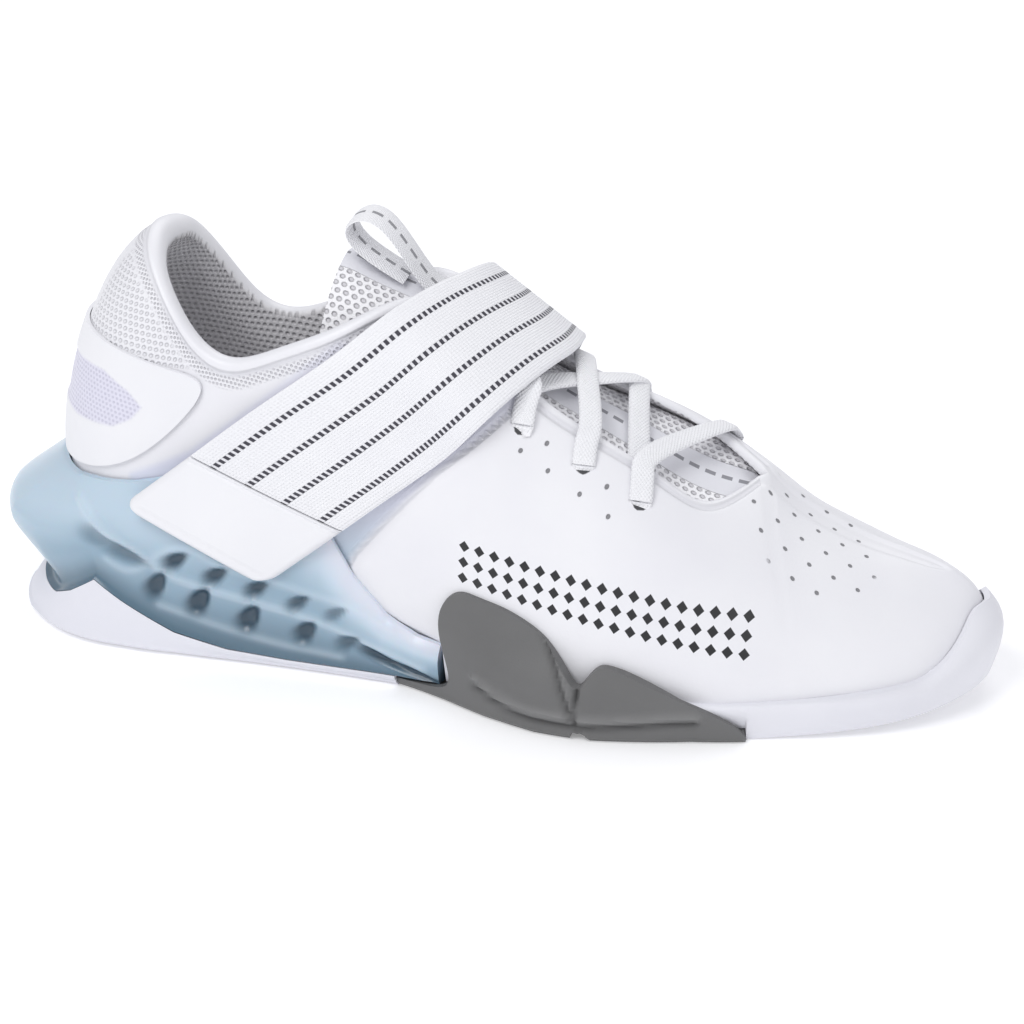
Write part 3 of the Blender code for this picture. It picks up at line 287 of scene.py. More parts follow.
def panel_rise(points):
    """How far the forefoot panel's skin stands over the midfoot's: a step behind its back edge."""
    edge_low = LAST_START + 0.345 * LAST_LENGTH
    lean = 0.72
    waist = 0.31 * INSTEP_HEIGHT
    back = edge_low + lean * np.abs(points[..., 2] - waist)
    return PANEL_STEP * smooth_step((points[..., 0] - back) / (7 * MM) + 0.5)


def wall_skin(turns, climbs):
    """The real outer surface: the wall's own points with the forefoot panel's step."""
    points = wall_points(turns, climbs)
    return points + wall_normals(turns, climbs) * panel_rise(points)[..., None]


def layer(turns, climbs, low, high):
    """Two surfaces off the skin, low and high above it along its normal."""
    skin = wall_skin(turns, climbs)
    normals = wall_normals(turns, climbs)
    low = np.broadcast_to(low, skin.shape[:2])[..., None]
    high = np.broadcast_to(high, skin.shape[:2])[..., None]
    return skin + normals * low, skin + normals * high


def turn_at(x, side=-1):
    """The turn whose feather point has this x, on the lateral or the medial side."""
    places = np.linspace(0, LAST, 1901)
    turn = float(np.interp(x, FOOT(places)[:, 0], places))
    return turn if side < 0 else ROUND - turn


def stack_height(points):
    """Height of the floor that the sole gives the foot, at each point's own x."""
    places = np.linspace(0, LAST, 381)
    foot = FOOT(places)
    points = np.asarray(points)
    return np.interp(points[:, 0], foot[:, 0], foot[:, 2])


def both_sides(turns):
    """Turns of one loop from the back of a piece to its front and home, and its cross lines."""
    medial = [(ROUND - t) % ROUND for t in turns[::-1]]
    whole = list(turns)
    closed_back = turns[0] == 0
    closed_front = turns[-1] == LAST
    if closed_front:
        medial = medial[1:]
    if closed_back:
        medial = medial[:-1]
    count = len(turns)
    total = count + len(medial)
    pairs = []
    for i in range(count):
        if closed_back:
            mate = (total - i) % total
        else:
            mate = total - 1 - i
        pairs.append((i, mate))
    return np.array(whole + medial), pairs


def by_turn(table, turns):
    """A table of (turn, values...) rows read at each turn, the same on both sides."""
    folded = np.minimum(np.asarray(turns) % ROUND, ROUND - np.asarray(turns) % ROUND)
    rows = np.array(table, float)
    return np.stack([np.interp(folded, rows[:, 0], rows[:, k]) for k in range(1, rows.shape[1])], 1)


def ring(turns, out, height):
    """Points outside the feather line by out, at a height."""
    foot, away = foot_line(turns)
    points = foot[:, :3] + away * np.broadcast_to(out, len(turns))[:, None]
    points[:, 2] = height
    return points


def inner_ring(turns, lips, share):
    """Points just off the upper, at a share of the way up to a piece's lip on each turn."""
    toe = smooth_step((np.minimum(turns, ROUND - turns) - 16) / 2)
    return np.array([
        layer([t], [share * c], CURVED_GAP + TOE_EASE * e, 0)[0][0, 0]
        for t, c, e in zip(turns, lips, toe)
    ])


def seat_ring(turns):
    """The edge of the floor under the upper's own lower edge."""
    seat = inner_ring(turns, np.zeros(len(turns)), 0.0)
    heights = np.stack([stack_height(seat), foot_line(turns)[0][:, 2], seat[:, 2]])
    seat[:, 2] = heights.min(axis=0) - GAP
    return seat


# The midsole's side, one row a turn: the base where it meets the heel plate (height, out), the
# waist, the bulge and the lip (its height, and its stand off the upper). Heights and outs are
# shares of HEEL_STACK and HEEL_FLARE.
MIDSOLE_SIDE = [
    # turn, base, out, waist, out, bulge, out, over, out, lip, stand
    (0.0, 0.37, 0.60, 0.52, 0.53, 1.05, 0.97, 1.35, 0.85, 1.73, 0.07),
    (1.0, 0.37, 0.58, 0.53, 0.52, 1.05, 0.92, 1.35, 0.80, 1.73, 0.07),
    (1.6, 0.40, 0.56, 0.56, 0.50, 1.07, 0.78, 1.38, 0.60, 1.75, 0.07),
    (2.0, 0.52, 0.50, 0.70, 0.44, 1.10, 0.62, 1.42, 0.48, 1.79, 0.07),
    (2.5, 0.74, 0.42, 0.86, 0.38, 1.14, 0.46, 1.47, 0.36, 1.83, 0.07),
    (3.0, 0.57, 0.36, 0.76, 0.32, 1.16, 0.38, 1.52, 0.30, 1.88, 0.07),
    (4.0, 0.30, 0.30, 0.55, 0.26, 1.10, 0.32, 1.60, 0.26, 2.05, 0.06),
    (5.0, 0.18, 0.28, 0.44, 0.25, 1.00, 0.30, 1.62, 0.25, 2.28, 0.05),
    (6.0, 0.145, 0.26, 0.38, 0.25, 0.88, 0.28, 1.45, 0.25, 2.22, 0.05),
    (6.5, 0.140, 0.25, 0.34, 0.24, 0.78, 0.27, 1.25, 0.24, 1.85, 0.05),
    (7.0, 0.140, 0.24, 0.30, 0.24, 0.62, 0.26, 0.86, 0.24, 1.17, 0.06),
    (7.5, 0.140, 0.22, 0.26, 0.22, 0.46, 0.25, 0.62, 0.23, 0.78, 0.07),
    (8.0, 0.140, 0.20, 0.24, 0.21, 0.38, 0.23, 0.50, 0.22, 0.62, 0.07),
    (9.0, 0.140, 0.16, 0.20, 0.17, 0.30, 0.19, 0.40, 0.18, 0.52, 0.07),
]


def midsole_base(turns):
    rows = by_turn(MIDSOLE_SIDE, turns)
    return rows[:, 0] * HEEL_STACK, rows[:, 1] * HEEL_FLARE


def climb_at(turn, height):
    """The climb at which the skin reaches a height on one turn."""
    climbs = np.linspace(0, 1, 201)
    heights = wall_skin([turn], climbs)[0, :, 2]
    return float(np.interp(height, heights, climbs))


# The heel plate's side: turn, out at the floor, out at the edge above it. Shares of HEEL_FLARE.
PLATE_SIDE = [
    (0.0, 0.36, 0.82),
    (1.0, 0.36, 0.76),
    (2.0, 0.30, 0.58),
    (3.0, 0.20, 0.38),
    (4.0, 0.15, 0.28),
    (5.0, 0.13, 0.25),
    (6.0, 0.11, 0.22),
    (7.0, 0.11, 0.20),
    (8.0, 0.09, 0.17),
]


def floor_rise(points):
    """Height of the forefoot rubber's underside: flat at the ball, rising to the toe."""
    flat_end = (WRAP_FRONT - 4 * MM)
    toe_end = LAST_START + LAST_LENGTH
    share = np.clip((points[:, 0] - flat_end) / (toe_end - flat_end), 0, 1)
    return TOE_SPRING * (0.45 * share + 0.55 * share**2)


def rubber_top(turns):
    """Top of the forefoot rubber's edge, climbing to the toe bumper."""
    foot, _ = foot_line(turns)
    toe = smooth_step((np.minimum(turns, ROUND - turns) - 16.4) / 2.2)
    return foot[:, 2] + RUBBER_LIP + toe * TOE_BUMPER


# The wrap's side: turn, out at the floor, out at a third, out at the top. Shares of OUTRIGGER.
WRAP_SIDE = [
    (7.5, 0.20, 0.45, 0.55),
    (8.5, 0.52, 0.62, 0.60),
    (9.2, 0.80, 0.78, 0.62),
    (10.0, 0.98, 0.90, 0.62),
    (10.8, 0.90, 0.86, 0.60),
    (11.5, 0.66, 0.72, 0.58),
    (12.2, 0.44, 0.56, 0.54),
    (13.2, 0.38, 0.48, 0.50),
]


def beside(x, height, side, stand):
    """Points standing off the skin of one side, where the skin has a given x and height."""
    turns = np.linspace(0, LAST, 96)
    climbs = np.linspace(0, 1, 61)
    turns = turns if side < 0 else (ROUND - turns) % ROUND
    skin = wall_skin(turns, climbs)
    found = []
    for at_x, at_height, off in np.broadcast(x, height, stand):
        away = (skin[..., 0] - at_x) ** 2 + (skin[..., 2] - at_height) ** 2
        i, k = np.unravel_index(away.argmin(), away.shape)
        turn, climb = turns[i], climbs[k]
        nudge = np.array([0.01, 0.004])
        for _ in range(6):
            here = wall_skin([turn], [climb])[0, 0]
            by_turn_step = (wall_skin([turn + nudge[0]], [climb])[0, 0] - here) / nudge[0]
            by_climb = (wall_skin([turn], [climb + nudge[1]])[0, 0] - here) / nudge[1]
            matrix = np.array([by_turn_step[[0, 2]], by_climb[[0, 2]]]).T
            move = np.linalg.solve(matrix, np.array([at_x, at_height]) - here[[0, 2]])
            turn += float(np.clip(move[0], -0.4, 0.4))
            climb = float(np.clip(climb + np.clip(move[1], -0.1, 0.1), 0.0, 0.995))
        here = wall_skin([turn], [climb, 1.0])[0, 0]
        normal = wall_normals([turn], [climb, 1.0])[0, 0]
        found.append(here + normal * off)
    return np.array(found)


# The strap, one row a stretch from the lateral end over the instep to the medial end.
# back and front: the two edges in the side view, along as shares of LAST_LENGTH and heights as
# shares of INSTEP_HEIGHT. side: lateral, medial, or over the top. off_back and off_front: how far
# each edge stands off the skin, in millimetres, or where it lies across, as a share of BALL_WIDTH.
Stretch = namedtuple("Stretch", "side back_along back_high front_along front_high off_back off_front")
STRAP = [
    Stretch(-1, 0.092, 0.420, 0.247, 0.255, 7.6, 6.9),
    Stretch(-1, 0.164, 0.562, 0.336, 0.418, 4.4, 4.2),
    Stretch(-1, 0.240, 0.708, 0.394, 0.522, 2.4, 2.0),
    Stretch(-1, 0.312, 0.838, 0.446, 0.618, 1.5, 2.2),
    Stretch(0, 0.371, 0.950, 0.487, 0.724, -0.256, -0.345),
    Stretch(0, 0.412, 0.996, 0.525, 0.790, -0.130, -0.190),
    Stretch(0, 0.437, 1.004, 0.546, 0.802, -0.020, -0.030),
    Stretch(0, 0.446, 0.985, 0.551, 0.792, 0.095, 0.095),
    Stretch(0, 0.440, 0.932, 0.543, 0.756, 0.203, 0.246),
    Stretch(1, 0.412, 0.810, 0.515, 0.620, 1.6, 2.4),
    Stretch(1, 0.375, 0.660, 0.478, 0.470, 1.4, 1.4),
    Stretch(1, 0.340, 0.540, 0.442, 0.345, 2.4, 1.8),
    Stretch(1, 0.312, 0.450, 0.415, 0.255, 3.4, 2.8),
]
STRAP_ACROSS = (0.0, 0.25, 0.5, 0.75, 1.0)


def strap_rows(places):
    """The strap's underside at places counted in stretches: one row of points a place."""
    base = []
    for row in STRAP:
        back = np.array([LAST_START + row.back_along * LAST_LENGTH, row.back_high * INSTEP_HEIGHT])
        front = np.array([LAST_START + row.front_along * LAST_LENGTH, row.front_high * INSTEP_HEIGHT])
        points = []
        for share in STRAP_ACROSS:
            x, height = back + (front - back) * share
            off = row.off_back + (row.off_front - row.off_back) * share
            if row.side:
                points.append(beside(x, height, row.side, off * MM)[0])
            else:
                points.append(np.array([x, off * BALL_WIDTH, height]))
        base.append(np.array(points))
    base = np.array(base)
    smooth = Spline(range(len(STRAP)), base.reshape(len(STRAP), -1))
    return smooth(places).reshape(len(places), len(STRAP_ACROSS), 3)


# The turns of the tongue's rows inside the throat, whose edges follow the upper's inner wall.
TONGUE_TURNS = (14.3, 13.4, 12.4, 11.2, 10.0, 9.0, 8.3)
TONGUE_SHARES = np.array([-1, -0.62, -0.38, -0.18, 0, 0.18, 0.38, 0.62, 1])
# The tongue's free rows above the throat: middle along and height, and its edges' along, half
# width and height, in the same shares.
TONGUE_FREE = [
    (0.352, 0.965, 0.345, 0.215, 0.820),
    (0.318, 1.000, 0.300, 0.222, 0.790),
    (0.300, 1.012, 0.284, 0.222, 0.785),
]


def tongue_rows():
    """Points of the tongue's outer face, one row of nine a section."""
    rows = []
    for turn in TONGUE_TURNS:
        pad = UPPER_WALL + CURVED_GAP + (COLLAR_PAD if turn < 9.5 else GAP)
        wings = [
            layer([t], [0.80, 0.93, 1.0], -pad, 0)[0][0] for t in (turn, ROUND - turn)
        ]
        middle = (wings[0][2] + wings[1][2]) / 2 + np.array([0, 0, TONGUE_RISE])
        knots = np.array([wings[0][0], wings[0][1], middle, wings[1][1], wings[1][0]])
        places = [-1, -0.62, 0, 0.62, 1]
        rows.append(np.stack([np.interp(TONGUE_SHARES, places, k) for k in knots.T], axis=1))
    for along, high, edge_along, half, edge_high in TONGUE_FREE:
        angle = TONGUE_SHARES * math.radians(90)
        middle = LAST_START + along * LAST_LENGTH
        edge = LAST_START + edge_along * LAST_LENGTH
        rise = (high - edge_high) * INSTEP_HEIGHT
        rows.append(np.stack([
            edge + (middle - edge) * np.cos(angle),
            half * BALL_WIDTH * np.sin(angle) + 0.01 * BALL_WIDTH,
            edge_high * INSTEP_HEIGHT + rise * np.cos(angle),
        ], axis=1))
    return np.array(rows)


# The pull loop's path in the side view: along and height, shares of LAST_LENGTH and INSTEP_HEIGHT.
LOOP = [
    (0.368, 0.960),
    (0.337, 1.000),
    (0.313, 1.040),
    (0.303, 1.082),
    (0.310, 1.113),
    (0.326, 1.125),
    (0.345, 1.108),
    (0.363, 1.062),
    (0.380, 1.006),
    (0.395, 0.962),
    (0.409, 0.938),
]


# The eyelets, front to back: turn and climb on the lateral eyestay, then on the medial one, whose
# turns are counted back from the heel as on the lateral side.
EYELETS = [
    (11.65, 0.79, 12.75, 0.84),
    (10.80, 0.82, 11.15, 0.85),
    (9.85, 0.82, 10.25, 0.85),
]


def eyelet(number, side, off, climb=None):
    """A point off an eyelet, or off the eyestay beside it at another climb."""
    row = EYELETS[number]
    turn, own = row[:2] if side < 0 else row[2:]
    turn = turn if side < 0 else ROUND - turn
    return layer([turn], [climb or own, 1.0], off, off)[0][0, 0]


# The camera: angles in degrees, its aim, and how far the aim moves across the picture
CAMERA_AZIMUTH = 15
CAMERA_ELEVATION = 26
CAMERA_DISTANCE = 1.3
CAMERA_LENS = 156.62
SENSOR_WIDTH = 36
CAMERA_AIM = (0.140, -0.0144, 0.0528)
CAMERA_RIGHT = 1.46 * MM
CAMERA_DOWN = 3.50 * MM
FLOOR_HALF = 4.0

# Meshes


def make_mesh(name, points, faces, material, marks=None, sharp=38.0):
    """A smooth-shaded piece that rides on the shoe. marks are values kept on its points."""
    mesh = bpy.data.meshes.new(name)
    mesh.from_pydata(np.asarray(points).tolist(), [], [list(map(int, f)) for f in faces])
    work = bmesh.new()
    work.from_mesh(mesh)
    bmesh.ops.recalc_face_normals(work, faces=work.faces)
    work.to_mesh(mesh)
    work.free()
    for key, values in (marks or {}).items():
        values = np.asarray(values, float)
        if values.ndim == 1:
            mark = mesh.attributes.new(key, "FLOAT", "POINT")
            mark.data.foreach_set("value", values.ravel())
        else:
            mark = mesh.attributes.new(key, "FLOAT_VECTOR", "POINT")
            mark.data.foreach_set("vector", values.ravel())
    mesh.shade_smooth()
    mesh.set_sharp_from_angle(angle=math.radians(sharp))
    mesh.materials.append(material)
    obj = bpy.data.objects.new(name, mesh)
    bpy.context.scene.collection.objects.link(obj)
    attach(obj, "root")
    return obj


def grid_faces(rows, columns, base=0, closed=False):
    index = base + np.arange(rows * columns).reshape(rows, columns)
    faces = []
    last = columns if closed else columns - 1
    for k in range(last):
        j = (k + 1) % columns
        faces.append(np.stack([index[:-1, k], index[:-1, j], index[1:, j], index[1:, k]], axis=1))
    return np.concatenate(faces)


def shell(name, low, high, material, marks, sharp=38.0):
    """A sheet with thickness from two equal grids, its border closed round."""
    rows, columns = low.shape[:2]
    count = rows * columns
    points = np.concatenate([low.reshape(-1, 3), high.reshape(-1, 3)])
    faces = list(grid_faces(rows, columns)[:, ::-1]) + list(grid_faces(rows, columns, count))
    index = np.arange(count).reshape(rows, columns)
    border = list(index[0]) + list(index[1:, -1]) + list(index[-1, -2::-1]) + list(index[-2:0:-1, 0])
    for a, b in zip(border, border[1:] + border[:1]):
        faces.append((a, b, b + count, a + count))
    both = {k: np.concatenate([np.reshape(v, (count, -1))] * 2).squeeze() for k, v in marks.items()}
    return make_mesh(name, points, faces, material, both, sharp)


def refine(rings, corners, steps):
    """More rings between the given ones: smooth inside each run between two corners."""
    rings = np.array(rings)
    out = [rings[:1]]
    for a, b in zip(corners[:-1], corners[1:]):
        count = max(1, steps * (b - a))
        if b - a == 1:
            share = np.linspace(0, 1, steps + 1)[1:, None, None]
            out.append(rings[a] + (rings[b] - rings[a]) * share)
        else:
            run = rings[a : b + 1]
            smooth = Spline(range(b - a + 1), run.reshape(b - a + 1, -1))
            out.append(smooth(np.linspace(0, b - a, count + 1)[1:]).reshape(count, -1, 3))
    return np.concatenate(out)


def loft(name, rings, material, pairs, marks=None, mouths=(), sharp=38.0):
    """A closed solid from rings of points, with both ends bridged along the cross lines."""
    rings = np.asarray(rings)
    layers, count = rings.shape[:2]
    faces = list(grid_faces(layers, count, closed=True))
    skip = [max(m) if abs(m[0] - m[1]) > 1 else min(m) for m in mouths]
    faces = [f for n, f in enumerate(faces) if n // (layers - 1) not in skip]
    for near, far in mouths:
        section = [k * count + near for k in range(layers)]
        faces.append(section + [k * count + far for k in range(layers - 1, -1, -1)])
    for base in (0, (layers - 1) * count):
        for (a, b), (c, d) in zip(pairs[:-1], pairs[1:]):
            face = list(dict.fromkeys([base + a, base + c, base + d, base + b]))
            if len(face) > 2:
                faces.append(face)
    return make_mesh(name, rings.reshape(-1, 3), faces, material, marks, sharp)


def outline_cut(piece, outline, solver="EXACT"):
    """Keeps the part of a piece inside an outline in the side view (x, z)."""
    count = len(outline)
    points = [(x, y, z) for y in (-BALL_WIDTH, BALL_WIDTH) for x, z in outline]
    faces = [list(range(count)), list(range(2 * count - 1, count - 1, -1))]
    for i in range(count):
        j = (i + 1) % count
        faces.append([i, j, count + j, count + i])
    mesh = bpy.data.meshes.new("cutter")
    mesh.from_pydata(points, [], faces)
    work = bmesh.new()
    work.from_mesh(mesh)
    bmesh.ops.triangulate(work, faces=work.faces)
    bmesh.ops.recalc_face_normals(work, faces=work.faces)
    work.to_mesh(mesh)
    work.free()
    cutter = bpy.data.objects.new("cutter", mesh)
    bpy.context.scene.collection.objects.link(cutter)
    modifier = piece.modifiers.new("cut", "BOOLEAN")
    modifier.operation = "INTERSECT"
    modifier.solver = solver
    modifier.object = cutter
    graph = bpy.context.evaluated_depsgraph_get()
    result = bpy.data.meshes.new_from_object(piece.evaluated_get(graph))
    piece.modifiers.clear()
    old = piece.data
    piece.data = result
    bpy.data.meshes.remove(old)
    bpy.data.objects.remove(cutter)
    result.shade_smooth()
    result.set_sharp_from_angle(angle=math.radians(35))


def line_distance(points, line, closed=False):
    """Distance in the side view from each point to a line of (x, z) points."""
    line = np.asarray(line, float)
    ends = np.roll(line, -1, axis=0) if closed else line[1:]
    starts = line if closed else line[:-1]
    flat = points[..., [0, 2]]
    best = np.full(flat.shape[:-1], 1e3)
    for a, b in zip(starts, ends):
        along = b - a
        share = np.clip(((flat - a) @ along) / (along @ along), 0, 1)
        away = np.linalg.norm(flat - a - share[..., None] * along, axis=-1)
        best = np.minimum(best, away)
    return best


def inside(points, outline):
    """Whether each point lies inside an outline in the side view."""
    x, z = points[..., 0], points[..., 2]
    found = np.zeros(x.shape, bool)
    outline = np.asarray(outline, float)
    for a, b in zip(outline, np.roll(outline, -1, axis=0)):
        crosses = (a[1] > z) != (b[1] > z)
        level = (b[0] - a[0]) * (z - a[1]) / (b[1] - a[1] + 1e-12) + a[0]
        found ^= crosses & (x < level)
    return found


def signed(points, outline):
    """Distance to an outline in the side view, negative inside it."""
    away = line_distance(points, outline, closed=True)
    return np.where(inside(points, outline), -away, away)


def smooth_line(points, per=8):
    points = np.asarray(points, float) * MM
    return Spline(range(len(points)), points)(np.linspace(0, len(points) - 1, per * len(points)))


# Materials


class Paint:
    """A short way to write a node material."""

    def __init__(self, name, colour, roughness, slot, **sockets):
        self.material = bpy.data.materials.new(name)
        self.material.use_nodes = True
        self.nodes = self.material.node_tree.nodes
        self.links = self.material.node_tree.links
        self.shader = self.nodes["Principled BSDF"]
        self.shader.inputs["Roughness"].default_value = roughness
        self.shader.inputs["Base Color"].default_value = (*colour, 1)
        for key, value in sockets.items():
            self.shader.inputs[key.replace("_", " ")].default_value = value
        self.slot = slot
        self.bump_out = None

    def node(self, kind, **values):
        made = self.nodes.new(kind)
        for key, value in values.items():
            setattr(made, key, value)
        return made

    def plug(self, value, socket):
        if hasattr(value, "links"):
            self.links.new(value, socket)
        else:
            socket.default_value = value

    def math(self, operation, a, b=0.0, c=0.0, clamp=False):
        made = self.node("ShaderNodeMath", operation=operation, use_clamp=clamp)
        for value, socket in zip((a, b, c), made.inputs):
            self.plug(value, socket)
        return made.outputs[0]

    def mark(self, name):
        made = self.node("ShaderNodeAttribute", attribute_name=name)
        return made.outputs["Fac"]

    def vector_mark(self, name):
        return self.node("ShaderNodeAttribute", attribute_name=name).outputs["Vector"]

    def place(self):
        return self.node("ShaderNodeTexCoord").outputs["Object"]

    def noise(self, scale, detail=3.0, where=None, rough=0.5):
        made = self.node("ShaderNodeTexNoise")
        made.inputs["Scale"].default_value = scale
        made.inputs["Detail"].default_value = detail
        made.inputs["Roughness"].default_value = rough
        self.links.new(where or self.place(), made.inputs["Vector"])
        return made.outputs["Fac"]

    def ramp(self, value, low, high):
        """0 below low, 1 above high, smooth between."""
        made = self.node("ShaderNodeMapRange", interpolation_type="SMOOTHSTEP")
        made.inputs["From Min"].default_value = low
        made.inputs["From Max"].default_value = high
        self.links.new(value, made.inputs["Value"])
        return made.outputs["Result"]

    def band(self, value, centre, half, soft):
        """1 on a band about centre, falling to 0 beside it."""
        away = self.math("ABSOLUTE", self.math("SUBTRACT", value, centre))
        return self.math("SUBTRACT", 1.0, self.ramp(away, half, half + soft))

    def mix(self, share, a, b):
        made = self.node("ShaderNodeMix", data_type="RGBA")
        self.plug(share, made.inputs[0])
        for value, socket in ((a, made.inputs[6]), (b, made.inputs[7])):
            self.plug(value if hasattr(value, "links") else (*value, 1), socket)
        return made.outputs[2]

    def colour(self, value):
        self.plug(value, self.shader.inputs["Base Color"])

    def roughness(self, value):
        self.plug(value, self.shader.inputs["Roughness"])

    def bump(self, height, distance, strength=1.0):
        made = self.node("ShaderNodeBump")
        made.inputs["Distance"].default_value = distance
        made.inputs["Strength"].default_value = strength
        self.links.new(height, made.inputs["Height"])
        if self.bump_out:
            self.links.new(self.bump_out, made.inputs["Normal"])
        self.bump_out = made.outputs["Normal"]
        self.links.new(self.bump_out, self.shader.inputs["Normal"])

    def cells(self, where, pitch, across=None, shift=0.5):
        """(u, v) inside a staggered cell of a fabric, each from -0.5 to 0.5."""
        split = self.node("ShaderNodeSeparateXYZ")
        self.links.new(where, split.inputs[0])
        row = self.math("DIVIDE", split.outputs[1], across or pitch)
        odd = self.math("MODULO", self.math("ABSOLUTE", self.math("FLOOR", row)), 2.0)
        column = self.math("DIVIDE", split.outputs[0], pitch)
        column = self.math("ADD", column, self.math("MULTIPLY", odd, shift))
        u = self.math("SUBTRACT", self.math("FRACT", column), 0.5)
        v = self.math("SUBTRACT", self.math("FRACT", row), 0.5)
        return u, v

    def dots(self, where, pitch, radius, soft, across=None):
        """Round holes in a staggered grid: 1 in a hole."""
        u, v = self.cells(where, pitch, across)
        flat = self.math("ADD", self.math("MULTIPLY", u, u), self.math("MULTIPLY", v, v))
        return self.math("SUBTRACT", 1.0, self.ramp(self.math("SQRT", flat), radius - soft, radius + soft))


def upper_paint():
    paint = Paint("shoe_upper", (0.80, 0.80, 0.825), 0.42, "upper_synthetic", Coat_Weight=0.08)
    side = paint.vector_mark("flat")
    inner = paint.mark("lining")
    mesh = paint.mark("mesh")
    knit = paint.mark("knit")
    seam = paint.mark("seam")
    film = paint.mark("film")
    soft = paint.noise(28.0)
    colour = paint.mix(soft, (0.76, 0.755, 0.80), (0.86, 0.86, 0.875))
    height = paint.mark("height")
    tint = paint.mix(paint.ramp(height, 0.030, 0.062), (0.46, 0.58, 0.68), (0.70, 0.71, 0.82))
    tint = paint.mix(paint.ramp(height, 0.060, 0.100), tint, (0.77, 0.77, 0.85))
    colour = paint.mix(film, colour, tint)
    # mesh by the Achilles and the knit band under the collar's rim
    holes = paint.dots(side, 0.0023, 0.28, 0.14, 0.0020)
    fine = paint.dots(side, 0.0015, 0.26, 0.14, 0.0013)
    mesh_holes = paint.math("MULTIPLY", holes, mesh)
    knit_holes = paint.math("MULTIPLY", fine, knit)
    colour = paint.mix(paint.math("MULTIPLY", mesh_holes, 0.2), colour, (0.52, 0.51, 0.57))
    colour = paint.mix(paint.math("MULTIPLY", knit_holes, 0.5), colour, (0.48, 0.47, 0.52))
    # the lining, darker, with its own diagonal dimples
    lining_holes = paint.dots(side, 0.0024, 0.26, 0.16, 0.0021)
    lining = paint.mix(lining_holes, (0.90, 0.89, 0.91), (0.70, 0.69, 0.71))
    colour = paint.mix(inner, colour, lining)
    # perforations and the thin dark of seams
    split = paint.node("ShaderNodeSeparateXYZ")
    paint.links.new(paint.place(), split.inputs[0])
    hole = paint.math("MULTIPLY", paint.dots(paint.place(), 0.0072, 0.082, 0.022, 0.0062), paint.mark("toe"))
    flat_place = paint.node("ShaderNodeCombineXYZ")
    paint.links.new(split.outputs[0], flat_place.inputs[0])
    paint.links.new(split.outputs[2], flat_place.inputs[2])
    for x, z in SIDE_HOLES:
        away = paint.node("ShaderNodeVectorMath", operation="DISTANCE")
        paint.links.new(flat_place.outputs[0], away.inputs[0])
        away.inputs[1].default_value = (x * MM, 0, z * MM)
        dot = paint.math("SUBTRACT", 1.0, paint.ramp(away.outputs["Value"], 0.00042, 0.00072))
        hole = paint.math("MAXIMUM", hole, dot)
    hole = paint.math("MULTIPLY", hole, paint.math("SUBTRACT", 1.0, inner))
    colour = paint.mix(paint.math("MULTIPLY", hole, 0.85), colour, (0.12, 0.12, 0.13))
    groove_and_painted_shade = paint.math("SUBTRACT", 1.0, paint.ramp(seam, 0.0003, 0.0016))
    colour = paint.mix(paint.math("MULTIPLY", groove_and_painted_shade, 0.16), colour, (0.40, 0.40, 0.46))
    ring = paint.mark("eyelet")
    dark = paint.math("SUBTRACT", 1.0, paint.ramp(ring, 0.0021, 0.0025))
    colour = paint.mix(dark, colour, (0.05, 0.05, 0.055))
    # a plain accent: three rows of small diamonds
    strip = paint.vector_mark("strip")
    u, v = paint.cells(strip, 0.0046, 0.0046, 0.0)
    flat = paint.math("ADD", paint.math("ABSOLUTE", u), paint.math("ABSOLUTE", v))
    spot = paint.math("SUBTRACT", 1.0, paint.ramp(flat, 0.33, 0.37))
    reach = paint.node("ShaderNodeSeparateXYZ")
    paint.links.new(strip, reach.inputs[0])
    for value, low, high in ((reach.outputs[0], 0.0, 0.0874), (reach.outputs[1], 0.0, 0.0138)):
        spot = paint.math("MULTIPLY", spot, paint.math("GREATER_THAN", value, low))
        spot = paint.math("MULTIPLY", spot, paint.math("LESS_THAN", value, high))
    spot = paint.math("MULTIPLY", spot, paint.math("SUBTRACT", 1.0, inner))
    colour = paint.mix(spot, colour, (0.018, 0.018, 0.02))
    paint.colour(colour)
    rough = paint.math("ADD", 0.38, paint.math("MULTIPLY", soft, 0.12))
    rough = paint.math("ADD", rough, paint.math("MULTIPLY", inner, 0.4), clamp=True)
    paint.roughness(rough)
    paint.bump(paint.noise(900.0, 2.0), 0.00006, 0.6)
    paint.bump(paint.noise(60.0, 2.0), 0.0006, 0.35)
    relief = paint.math("ADD", mesh_holes, knit_holes)
    relief = paint.math("ADD", relief, paint.math("MULTIPLY", lining_holes, inner))
    relief = paint.math("ADD", relief, hole)
    relief = paint.math("ADD", relief, groove_and_painted_shade)
    paint.bump(paint.math("SUBTRACT", 0.0, relief), 0.0005, 0.9)
    return paint


def plain_paint(name, slot, light, dark, roughness, grain, depth, scale=30.0, **sockets):
    paint = Paint(name, light, roughness, slot, **sockets)
    soft = paint.noise(scale)
    paint.colour(paint.mix(soft, dark, light))
    paint.roughness(paint.math("ADD", roughness - 0.06, paint.math("MULTIPLY", soft, 0.12)))
    paint.bump(paint.noise(grain, 3.0), depth, 0.7)
    return paint


